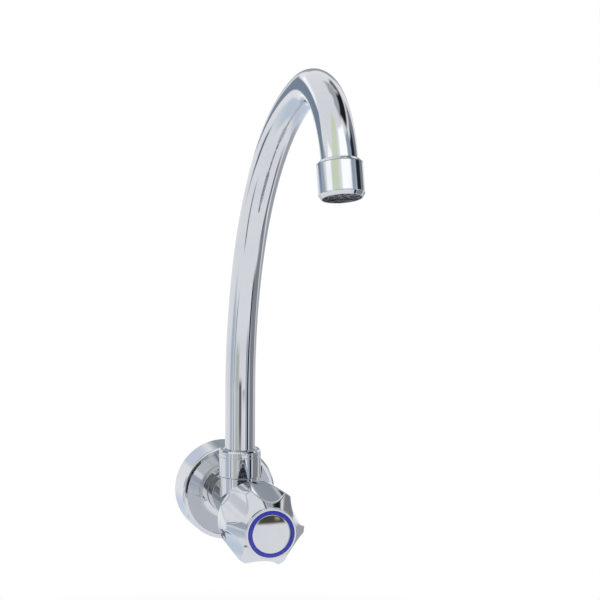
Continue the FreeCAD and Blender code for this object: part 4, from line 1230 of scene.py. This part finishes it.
@dataclass(frozen=True)
class SwanSpout:
    """Bent tube of the spout and the round nut that holds it on the neck."""

    tube_radius: float = 9.0
    wall: float = 1.0
    tube_end: float = 9.9
    steps: int = 260
    sides: int = 96
    nut_radius: float = 12.6
    nut_bottom: float = 17.5
    nut_top: float = 33.5
    lip_bottom: float = 31.3
    thread_radius: float = 11.3
    hole_radius: float = 9.25
    bevel: float = 0.9
    hole_bevel: float = 0.8
    groove_tops: tuple[float, float] = (29.9, 32.1)
    groove_width: float = 0.6
    groove_depth: float = 0.35
    groove_edge: float = 0.35
    groove_round: float = 0.12

    def tube_recipe(self, sizes: dict[str, Any]) -> Tree:
        """Geometry Nodes that sweep a round tube along the spout's line.

        Args:
            sizes: The tree's named inputs.

        Returns:
            The tree.
        """
        tree, size = Workshop.recipe("swan_neck_tube", sizes)
        line = tree.add("GeometryNodeCurvePrimitiveLine")
        spaced = tree.add("GeometryNodeResampleCurve", {"Curve": line.outputs[0], "Count": size["Steps"]})
        share = tree.add("GeometryNodeSplineParameter").outputs["Factor"]
        wide_length = tree.math("MULTIPLY", size["Wide Radius"], size["Wide Angle"])
        tight_length = tree.math("MULTIPLY", size["Tight Radius"], size["Tight Angle"])
        ends = [size["Rise"]]
        for length in (wide_length, tight_length, size["Tail"]):
            ends.append(tree.math("ADD", ends[-1], length))
        run = tree.math("MULTIPLY", share, ends[-1])
        rise = tree.math("MINIMUM", run, ends[0])

        def past(start: Any, length: Any) -> Any:
            """How far the run goes into a stretch."""
            return tree.math("MINIMUM", tree.math("MAXIMUM", tree.math("SUBTRACT", run, start), 0.0), length)

        first = tree.math("DIVIDE", past(ends[0], wide_length), size["Wide Radius"])
        both = tree.math("ADD", first, tree.math("DIVIDE", past(ends[1], tight_length), size["Tight Radius"]))
        tail = past(ends[2], size["Tail"])
        (first_cos, first_sin), (both_cos, both_sin) = (
            (tree.math("COSINE", angle), tree.math("SINE", angle)) for angle in (first, both)
        )
        lead = tree.math("MULTIPLY", tree.math("SUBTRACT", 1.0, first_cos), size["Wide Radius"])
        lead = tree.math("MULTIPLY_ADD", tree.math("SUBTRACT", first_cos, both_cos), size["Tight Radius"], lead)
        lead = tree.math("MULTIPLY_ADD", tail, both_sin, lead)
        height = tree.math("MULTIPLY_ADD", first_sin, size["Wide Radius"], rise)
        height = tree.math("MULTIPLY_ADD", tree.math("SUBTRACT", both_sin, first_sin), size["Tight Radius"], height)
        height = tree.math("MULTIPLY_ADD", tail, both_cos, height)
        back = tree.math("MULTIPLY", tree.math("ADD", lead, size["Neck"]), -1.0)
        spot = tree.add("ShaderNodeCombineXYZ", {"Y": back, "Z": tree.math("ADD", height, size["Foot"])})
        bent = tree.add("GeometryNodeSetPosition", {"Geometry": spaced.outputs[0], "Position": spot.outputs[0]})
        circle = tree.add("GeometryNodeCurvePrimitiveCircle", {"Resolution": size["Sides"], "Radius": size["Radius"]})
        swept = tree.add("GeometryNodeCurveToMesh", {"Curve": bent.outputs[0], "Profile Curve": circle.outputs[0]})
        soft = tree.add("GeometryNodeSetShadeSmooth", {"Geometry": swept.outputs[0], "Shade Smooth": True})
        Workshop.serve(tree, soft.outputs[0], size["Material"])
        return tree

    def tube(self, shop: Workshop) -> bpy.types.Mesh:
        """Sweep the tube and give it its wall.

        Args:
            shop: Where the material comes from.

        Returns:
            The tube's mesh.
        """
        sizes = {
            "Neck": LINE.neck * MM,
            "Foot": LINE.foot * MM,
            "Rise": (LINE.rise_top - LINE.foot) * MM,
            "Wide Radius": LINE.wide_radius * MM,
            "Wide Angle": math.radians(LINE.wide_angle),
            "Tight Radius": LINE.tight_radius * MM,
            "Tight Angle": math.radians(LINE.tight_angle),
            "Tail": (LINE.tail - self.tube_end) * MM,
            "Radius": self.tube_radius * MM,
            "Steps": self.steps,
            "Sides": self.sides,
            "Material": TUBE_CHROME.material(shop.reliefs),
        }
        skin = Workshop.cook(bpy.data.meshes.new("pipe_skin"), self.tube_recipe(sizes), sizes)
        carrier = new_object("pipe_carrier", skin)
        wall = carrier.modifiers.new("wall", "SOLIDIFY")
        wall.thickness, wall.offset = self.wall * MM, -1.0
        return plain_mesh(carrier, "spout_pipe")

    def nut(self) -> Shell:
        """Turn the nut with its two grooves.

        Returns:
            The closed surface.
        """
        groove = self.nut_radius - self.groove_depth
        grooves = []
        for top in self.groove_tops:
            bottom = top - self.groove_width
            grooves += [
                Corner(self.nut_radius, bottom, self.groove_edge),
                Corner(groove, bottom, self.groove_round),
                Corner(groove, top, self.groove_round),
                Corner(self.nut_radius, top, self.groove_edge),
            ]
        return lathe([
            Corner(self.thread_radius, self.nut_bottom, 0.3),
            Corner(self.nut_radius, self.nut_bottom, 0.3),
            *grooves,
            Corner(self.nut_radius, self.nut_top - self.bevel, 0.25),
            Corner(self.nut_radius - self.bevel, self.nut_top, 0.25),
            Corner(self.hole_radius + self.hole_bevel, self.nut_top, 0.25),
            Corner(self.hole_radius, self.nut_top - self.hole_bevel, 0.2),
            Corner(self.hole_radius, self.lip_bottom),
            Corner(self.thread_radius, self.lip_bottom),
        ])

    def build(self, shop: Workshop) -> None:
        """Fit the tube and the nut.

        Args:
            shop: Where they are dressed.
        """
        shop.fit(self.tube(shop), Body.SPOUT, TUBE_CHROME, "spout_tube")
        shop.fit(self.nut().mesh("round_spout_nut", Axis.NECK), Body.TAP, NUT_CHROME, "spout_nut")


@dataclass(frozen=True)
class Aerator:
    """Outlet sleeve with its perforated insert and wire cloth."""

    radius: float = 11.2
    length: float = 16.4
    bore: float = 10.0
    lip: float = 1.9
    opening: float = 9.4
    bevel: float = 1.25
    bevel_height: float = 1.8
    bush_inner: float = 9.02
    bush_outer: float = 9.9
    bush_bottom: float = 9.9
    collar_seat: float = 16.5
    collar_end: float = 18.2
    collar_bevel: float = 1.5
    cage_radius: float = 9.9
    cage_bore: float = 8.9
    cage_bottom: float = 2.0
    cage_floor: float = 1.2
    cage_top: float = 7.6
    cage_sides: int = 96
    cage_crease: float = 35.0
    hole_radius: float = 1.1
    hole_sides: int = 20
    drill_ratio: float = 4.0
    inner_circle: float = 3.4
    inner_count: int = 6
    outer_circle: float = 6.7
    outer_count: int = 12
    screen_radius: float = 8.8
    screen_gap: float = 0.1
    screen_depth: float = 0.4
    screen_bottom: float = 3.3
    screen_pitch: float = 0.9
    wire_pitch: float = 0.8
    wire_radius: float = 0.1
    wire_count: int = 21
    wire_sides: int = 8
    wire_nesting: float = 0.9
    wire_crease: float = 50.0

    def sleeve(self) -> Shell:
        """Turn the plain round sleeve.

        Returns:
            The closed surface.
        """
        return lathe([
            Corner(self.opening, 0, 0.08),
            Corner(self.radius - self.bevel, 0, 0.1),
            Corner(self.radius, self.bevel_height, 0.8),
            Corner(self.radius, self.length, 0.2),
            Corner(self.bore, self.length, 0.2),
            Corner(self.bore, self.lip),
            Corner(self.opening, self.lip),
        ])

    def bush(self) -> Shell:
        """Turn the bush on the tube's end, with its bevelled collar.

        Returns:
            The closed surface.
        """
        return lathe([
            Corner(self.bush_inner, self.bush_bottom),
            Corner(self.bush_outer, self.bush_bottom),
            Corner(self.bush_outer, self.collar_seat),
            Corner(self.radius, self.collar_seat, 0.15),
            Corner(self.radius, self.collar_end - self.collar_bevel, 0.3),
            Corner(self.radius - self.collar_bevel, self.collar_end, 0.3),
            Corner(self.bush_inner, self.collar_end, 0.1),
        ])

    def cage_recipe(self, sizes: dict[str, Any]) -> Tree:
        """Geometry Nodes that drill rings of holes through a floor.

        Args:
            sizes: The tree's named inputs.

        Returns:
            The tree.
        """
        tree, size = Workshop.recipe("drilled_floor", sizes)
        bit = {"Vertices": self.hole_sides, "Radius": size["Hole"], "Depth": size["Depth"]}
        drill = tree.add("GeometryNodeMeshCylinder", bit).outputs["Mesh"]
        drills = [drill]
        for ring in ("Inner", "Outer"):
            ends = {"Vertices": size[f"{ring} Count"], "Radius": size[f"{ring} Circle"]}
            spots = tree.add("GeometryNodeMeshCircle", ends).outputs["Mesh"]
            copies = tree.add("GeometryNodeInstanceOnPoints", {"Points": spots, "Instance": drill})
            drills.append(tree.add("GeometryNodeRealizeInstances", {0: copies.outputs[0]}).outputs[0])
        cut = tree.add("GeometryNodeMeshBoolean", {"Mesh 1": size["Geometry"]}, operation="DIFFERENCE", solver="EXACT")
        for one in drills:
            tree.feed(cut, {"Mesh 2": one})
        Workshop.serve(tree, cut.outputs["Mesh"], size["Material"])
        return tree

    def cage(self, shop: Workshop) -> bpy.types.Mesh:
        """The drilled plastic cup, made at its own origin and then set in the outlet.

        Args:
            shop: Where the material comes from.

        Returns:
            The cup's mesh.
        """
        floor, top = self.cage_floor, self.cage_top - self.cage_bottom
        cup = lathe([
            Corner(0, 0),
            Corner(self.cage_radius, 0, 0.3),
            Corner(self.cage_radius, top),
            Corner(self.cage_bore, top),
            Corner(self.cage_bore, floor),
            Corner(0, floor),
        ], closed=False, sides=self.cage_sides)
        base = bpy.data.meshes.new("drilled_insert")
        base.from_pydata((cup.points * MM).tolist(), [], cup.faces)
        sizes = {
            "Hole": self.hole_radius * MM,
            "Depth": self.drill_ratio * floor * MM,
            "Inner Circle": self.inner_circle * MM,
            "Outer Circle": self.outer_circle * MM,
            "Inner Count": self.inner_count,
            "Outer Count": self.outer_count,
            "Material": PLASTIC.material(shop.reliefs),
        }
        mesh = Workshop.cook(base, self.cage_recipe(sizes), sizes)
        self.set_in_outlet(mesh, self.cage_bottom)
        mesh.set_sharp_from_angle(angle=math.radians(self.cage_crease))
        return mesh

    def cloth_recipe(self, sizes: dict[str, Any]) -> Tree:
        """Geometry Nodes that lay two layers of crossed wires inside a circle.

        Args:
            sizes: The tree's named inputs.

        Returns:
            The tree.
        """
        tree, size = Workshop.recipe("wire_cloth", sizes)
        rod = {"Vertices": self.wire_sides, "Radius": size["Wire"], "Depth": 1.0}
        wire = tree.add("GeometryNodeMeshCylinder", rod).outputs["Mesh"]
        span = tree.math("MULTIPLY", tree.math("SUBTRACT", size["Count"], 1.0), size["Pitch"])
        start = tree.add("ShaderNodeCombineXYZ", {"X": tree.math("MULTIPLY", span, -0.5)}).outputs[0]
        step = tree.add("ShaderNodeCombineXYZ", {"X": size["Pitch"]}).outputs[0]
        row = tree.add("GeometryNodeMeshLine", {"Count": size["Count"], "Start Location": start, "Offset": step})
        place = tree.add("GeometryNodeInputPosition").outputs[0]
        across = tree.add("ShaderNodeSeparateXYZ", {0: place}).outputs["X"]
        room = tree.math("SUBTRACT", tree.math("POWER", size["Radius"], 2.0), tree.math("POWER", across, 2.0))
        chord = tree.math("MULTIPLY", tree.math("SQRT", tree.math("MAXIMUM", room, 0.0)), 2.0)
        stretch = tree.add("ShaderNodeCombineXYZ", {"X": 1.0, "Y": 1.0, "Z": chord}).outputs[0]
        wires = tree.add("GeometryNodeInstanceOnPoints", {
            "Points": row.outputs[0], "Instance": wire, "Rotation": (math.pi / 2, 0.0, 0.0), "Scale": stretch,
        }).outputs[0]

        def moved(geometry: Any, lift: Any, turn: float = 0.0) -> Any:
            """A geometry lifted along the axis and turned about it."""
            shift = tree.add("ShaderNodeCombineXYZ", {"Z": lift}).outputs[0]
            return tree.add("GeometryNodeTransform", {
                "Geometry": geometry, "Translation": shift, "Rotation": (0.0, 0.0, turn),
            }).outputs[0]

        low, high = (tree.math("MULTIPLY", size["Wire"], side * self.wire_nesting) for side in (-1.0, 1.0))
        weave = tree.join(moved(wires, low), moved(wires, high, math.pi / 2))
        Workshop.serve(tree, tree.join(weave, moved(weave, size["Layer"])), size["Material"])
        return tree

    def cloth(self, shop: Workshop) -> bpy.types.Mesh:
        """Two layers of wire cloth in the insert.

        Args:
            shop: Where the material comes from.

        Returns:
            The wires' mesh.
        """
        sizes = {
            "Radius": (self.screen_radius - self.screen_gap) * MM,
            "Pitch": self.wire_pitch * MM,
            "Wire": self.wire_radius * MM,
            "Layer": self.screen_pitch * MM,
            "Count": self.wire_count,
            "Material": STEEL.material(shop.reliefs),
        }
        mesh = Workshop.cook(bpy.data.meshes.new("wire_cloth"), self.cloth_recipe(sizes), sizes)
        self.set_in_outlet(mesh, self.screen_bottom + self.screen_depth / 2)
        mesh.shade_smooth()
        mesh.set_sharp_from_angle(angle=math.radians(self.wire_crease))
        return mesh

    @staticmethod
    def set_in_outlet(mesh: bpy.types.Mesh, along: float) -> None:
        """Move a mesh from the origin into the outlet.

        Args:
            mesh: The mesh.
            along: Its place on the outlet's axis.
        """
        place = Matrix(Axis.OUTLET.matrix()) @ Matrix.Translation((0, 0, along))
        place.translation *= MM
        mesh.transform(place)

    def build(self, shop: Workshop) -> None:
        """Fit the sleeve, the collar, the insert and its wire cloth.

        Args:
            shop: Where they are dressed.
        """
        shop.fit(self.sleeve().mesh("outlet_sleeve", Axis.OUTLET), Body.SPOUT, OUTLET_CHROME, "aerator_housing")
        shop.fit(self.bush().mesh("tube_end_collar", Axis.OUTLET), Body.SPOUT, OUTLET_CHROME, "spout_end_bush")
        shop.fit(self.cage(shop), Body.SPOUT, PLASTIC, "aerator_cage")
        shop.fit(self.cloth(shop), Body.SPOUT, STEEL, "aerator_screens")


CARRIED_OVER: dict[str, Finish] = {
    "bonnet_gasket": FIBRE,
    "spout_thrust_washer": NYLON,
    "spindle": BRASS,
    "spindle_o_rings": RUBBER,
    "spindle_circlip": STEEL,
    "handle_screw": STEEL,
    "valve_plunger": BRASS,
    "valve_washer": RUBBER,
    "washer_screw": BRASS,
    "spout_ferrule": BRASS,
    "spout_o_rings": RUBBER,
    "spout_split_ring": NYLON,
    "aerator_diffuser": NYLON,
    "aerator_washer": RUBBER,
}


@dataclass(frozen=True)
class Card:
    """A plain card that the chrome mirrors, placed and sized in degrees as the tap sees it, its reach in metres."""

    name: str
    azimuth: float
    elevation: float
    width: float
    height: float
    colour: Colour
    softness: float = 0.25
    lean: float = 0.0
    reach: float = 2.6


CARDS = (
    Card("front_window", 14, 42, 60, 36, (1.5, 1.5, 1.48), 0.35),
    Card("left_window", -76, 19, 34, 20, (1.38, 1.38, 1.36), 0.45),
    Card("back_window", 168, -2, 40, 12, (1.35, 1.36, 1.38), 0.5),
    Card("back_low_blue", 180, -30, 80, 36, (0.68, 0.77, 0.88), 0.5),
    Card("left_back_pale", -166, 14, 28, 16, (0.72, 0.79, 0.88), 0.5),
    Card("back_right", 162, 19, 42, 34, (0.36, 0.4, 0.44), 0.45),
    Card("top_right", 105, 72, 170, 26, (0.5, 0.52, 0.54), 0.4),
    Card("back_right_high", 137, 52, 32, 20, (0.22, 0.21, 0.21), 0.6),
    Card("left_horizon", -112, 4.5, 90, 21, (0.47, 0.53, 0.61), 0.4),
    Card("left_low_slate", -141, -18, 14, 10, (0.14, 0.19, 0.27), 0.6),
    Card("left_low_blue", -88, -17, 36, 28, (0.58, 0.65, 0.76), 0.6),
    Card("left_low_rail", -98, -46, 50, 7, (0.24, 0.26, 0.31), 0.6),
    Card("left_post", -66, -21, 8, 36, (0.24, 0.26, 0.29), 0.6),
    Card("left_green", -42, 43, 42, 54, (0.84, 0.93, 0.68), 0.35),
    Card("front_left_grey", -40, -16, 42, 24, (0.62, 0.66, 0.62), 0.7),
    Card("horizon", 2, 5, 114, 26, (0.25, 0.26, 0.26), 0.35),
    Card("horizon_patch", -14, -9, 28, 14, (0.17, 0.17, 0.16), 0.6),
    Card("front_patch", 14, -5, 24, 13, (0.09, 0.09, 0.06), 0.35),
    Card("front_warm_patch", 18, -6, 5, 7, (0.5, 0.4, 0.28), 0.7),
    Card("front_right_blue", 36, -16, 22, 36, (0.42, 0.51, 0.62), 0.6),
    Card("right_grey", 84, -22, 54, 50, (0.3, 0.31, 0.33), 0.35),
    Card("right_streak", 52, -24, 16, 48, (0.025, 0.033, 0.055), 0.4, -17),
    Card("right_low_rail", 108, -46, 76, 13, (0.2, 0.22, 0.26), 0.6),
    Card("right_back_grey", 132, -22, 46, 34, (0.46, 0.47, 0.49), 0.5),
    Card("right_blue", 54, 33, 34, 30, (0.4, 0.47, 0.57), 0.5),
    Card("right_side", 102, 22, 46, 38, (0.29, 0.29, 0.3), 0.4),
    Card("right_navy", 80, 22, 36, 32, (0.02, 0.027, 0.045), 0.5),
    Card("right_high", 90, 55, 84, 28, (0.02, 0.019, 0.018), 0.45, -20),
    Card("left_slate", -141, 29, 70, 28, (0.25, 0.31, 0.39), 0.25, 0, 0.946),
    Card("left_white", -142, 40, 56, 10, (1.3, 1.32, 1.35), 0.5, 0, 1.12),
)


@dataclass(frozen=True)
class Lamp:
    """A soft square lamp: its direction from the tap in degrees, its side in metres and its power in watts."""

    name: str
    azimuth: float
    elevation: float
    size: float
    power: float


LAMPS = (
    Lamp("key", -50, 48, 1.4, 24),
    Lamp("fill", 55, 30, 1.4, 11),
    Lamp("top", 10, 82, 1.6, 10),
)


@dataclass(frozen=True)
class Studio:
    """Pale floor, soft lamps, white surround and the cards that give the chrome its streaks, all in metres."""

    floor_height: float = -0.3
    floor_size: float = 8.0
    floor_colour: Colour = (0.86, 0.86, 0.865)
    floor_fade: tuple[float, float] = (0.4, 0.85)
    centre: tuple[float, float, float] = (0.0, -0.12, 0.1)
    ambient: float = 0.4
    lamp_reach: float = 2.2
    card_spacing: float = 0.02
    card_steps: int = 12

    def world(self) -> None:
        """White surround for the camera and for mirrors, and a plain level of light for the rest."""
        world = bpy.data.worlds.new("white_studio")
        bpy.context.scene.world = world
        tree = Tree.blank(world)
        path = tree.add("ShaderNodeLightPath").outputs
        seen = tree.math("MAXIMUM", path["Is Camera Ray"], path["Is Glossy Ray"])
        seen = tree.math("MAXIMUM", seen, path["Is Transmission Ray"])
        plain = tree.add("ShaderNodeBackground", {"Color": WHITE, "Strength": self.ambient})
        white = tree.add("ShaderNodeBackground", {"Color": WHITE, "Strength": 1.0})
        tree.mix("ShaderNodeOutputWorld", seen, plain, white)

    def floor(self) -> None:
        """Pale floor that turns white towards its edges for the camera."""
        half = self.floor_size / 2
        mesh = bpy.data.meshes.new("pale_floor")
        corners = [(-half, -half), (half, -half), (half, half), (-half, half)]
        mesh.from_pydata([(x, y, self.floor_height) for x, y in corners], [], [(0, 1, 2, 3)])
        material = bpy.data.materials.new("pale_floor")
        mesh.materials.append(material)
        tree = Tree.blank(material)
        place = tree.add("ShaderNodeTexCoord").outputs["Object"]
        away = tree.add("ShaderNodeVectorMath", {0: place}, operation="LENGTH").outputs["Value"]
        near, far = self.floor_fade
        fade = tree.add("ShaderNodeMapRange", {"Value": away, "From Min": near, "From Max": far}).outputs["Result"]
        camera = tree.add("ShaderNodeLightPath").outputs["Is Camera Ray"]
        matt = tree.add("ShaderNodeBsdfDiffuse", {"Color": (*self.floor_colour, 1)})
        white = tree.add("ShaderNodeEmission", {"Color": WHITE, "Strength": 1.0})
        tree.mix("ShaderNodeOutputMaterial", tree.math("MULTIPLY", fade, camera), matt, white)
        floor = new_object("pale_floor", mesh)
        floor.visible_glossy = False

    def lamp(self, lamp: Lamp) -> None:
        """Hang a lamp that faces the tap.

        Args:
            lamp: The lamp's direction, size and power.
        """
        light = bpy.data.lights.new(lamp.name, "AREA")
        light.size, light.energy = lamp.size, lamp.power
        way = direction(lamp.azimuth, lamp.elevation)
        hung = new_object(lamp.name, light)
        hung.location = Vector(self.centre) + way * self.lamp_reach
        hung.rotation_euler = way.to_track_quat("Z", "Y").to_euler()
        hung.visible_glossy = False

    def card(self, card: Card, order: int) -> None:
        """Stand a card on a sphere round the tap, hidden from the camera and from the lamps.

        Args:
            card: The card's place, size and colour.
            order: Its place among the cards; each stands just in front of those before it.
        """
        reach = card.reach - self.card_spacing * order
        shares = [step / self.card_steps for step in range(self.card_steps + 1)]
        coordinates = [(across, up) for up in shares for across in shares]
        points = []
        for across, up in coordinates:
            azimuth = card.azimuth + (across - 0.5) * card.width + (up - 0.5) * card.lean
            elevation = card.elevation + (up - 0.5) * card.height
            points.append(Vector(self.centre) + direction(azimuth, elevation) * reach)
        row = len(shares)
        firsts = [up * row + across for up in range(self.card_steps) for across in range(self.card_steps)]
        mesh = bpy.data.meshes.new(f"card_{card.name}")
        mesh.from_pydata(points, [], [(first, first + 1, first + row + 1, first + row) for first in firsts])
        layer = mesh.uv_layers.new(name="card")
        for loop in mesh.loops:
            layer.data[loop.index].uv = coordinates[loop.vertex_index]
        mesh.materials.append(self.card_material(card))
        stand = new_object(mesh.name, mesh)
        stand.visible_camera = stand.visible_diffuse = stand.visible_shadow = False

    @staticmethod
    def card_material(card: Card) -> bpy.types.Material:
        """Even colour that fades out over the card's edges.

        Args:
            card: The card's colour and softness.

        Returns:
            The material.
        """
        material = bpy.data.materials.new(f"card_{card.name}")
        tree = Tree.blank(material)
        place = tree.add("ShaderNodeSeparateXYZ", {0: tree.add("ShaderNodeTexCoord").outputs["UV"]}).outputs
        shares = []
        for way in ("X", "Y"):
            inset = tree.math("MINIMUM", place[way], tree.math("SUBTRACT", 1.0, place[way]))
            edge = {"Value": inset, "From Max": card.softness / 2}
            shares.append(tree.add("ShaderNodeMapRange", edge, interpolation_type="SMOOTHSTEP").outputs["Result"])
        clear = tree.add("ShaderNodeBsdfTransparent")
        plain = tree.add("ShaderNodeEmission", {"Color": (*card.colour, 1), "Strength": 1.0})
        tree.mix("ShaderNodeOutputMaterial", tree.math("MULTIPLY", *shares), clear, plain)
        return material

    def build(self) -> None:
        """Set up the whole studio."""
        self.world()
        self.floor()
        for lamp in LAMPS:
            self.lamp(lamp)
        for order, card in enumerate(CARDS):
            self.card(card, order)


@dataclass(frozen=True)
class PhotoCamera:
    """Camera at the photograph's place and angle, for an image of 600 by 600, with its clipping in metres."""

    place: tuple[float, float, float] = (-221.4, -967.8, 224.95)
    azimuth: float = -15.66
    elevation: float = 6.12
    roll: float = 0.55
    lens: float = 96.0
    sensor: float = 36.0
    clip: tuple[float, float] = (0.01, 50.0)

    def build(self) -> None:
        """Make the camera and let the scene use it."""
        data = bpy.data.cameras.new("photo_camera")
        data.lens, data.sensor_width = self.lens, self.sensor
        data.clip_start, data.clip_end = self.clip
        back = direction(self.azimuth, self.elevation)
        right = Vector((0, 0, 1)).cross(back).normalized()
        up = back.cross(right)
        turn = math.radians(self.roll)
        across = right * math.cos(turn) + up * math.sin(turn)
        upward = up * math.cos(turn) - right * math.sin(turn)
        facing = Matrix((across, upward, back)).transposed().to_4x4()
        camera = new_object("photo_camera", data)
        camera.matrix_world = Matrix.Translation(Vector(self.place) * MM) @ facing
        bpy.context.scene.camera = camera


def main() -> None:
    """Build the tap, piece by piece, and the studio round it."""
    logging.basicConfig(level=logging.INFO, format="%(name)s: %(message)s")
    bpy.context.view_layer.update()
    bpy.context.scene.view_settings.view_transform = "Standard"
    PhotoCamera().build()
    Studio().build()
    shop = Workshop()
    for assembly in (WallFlange(), TapCasting(), Headwork(), LobedKnob(), SwanSpout(), Aerator()):
        assembly.build(shop)
    for node, finish in CARRIED_OVER.items():
        shop.coat(node, finish)


if __name__ == "__main__":
    main()
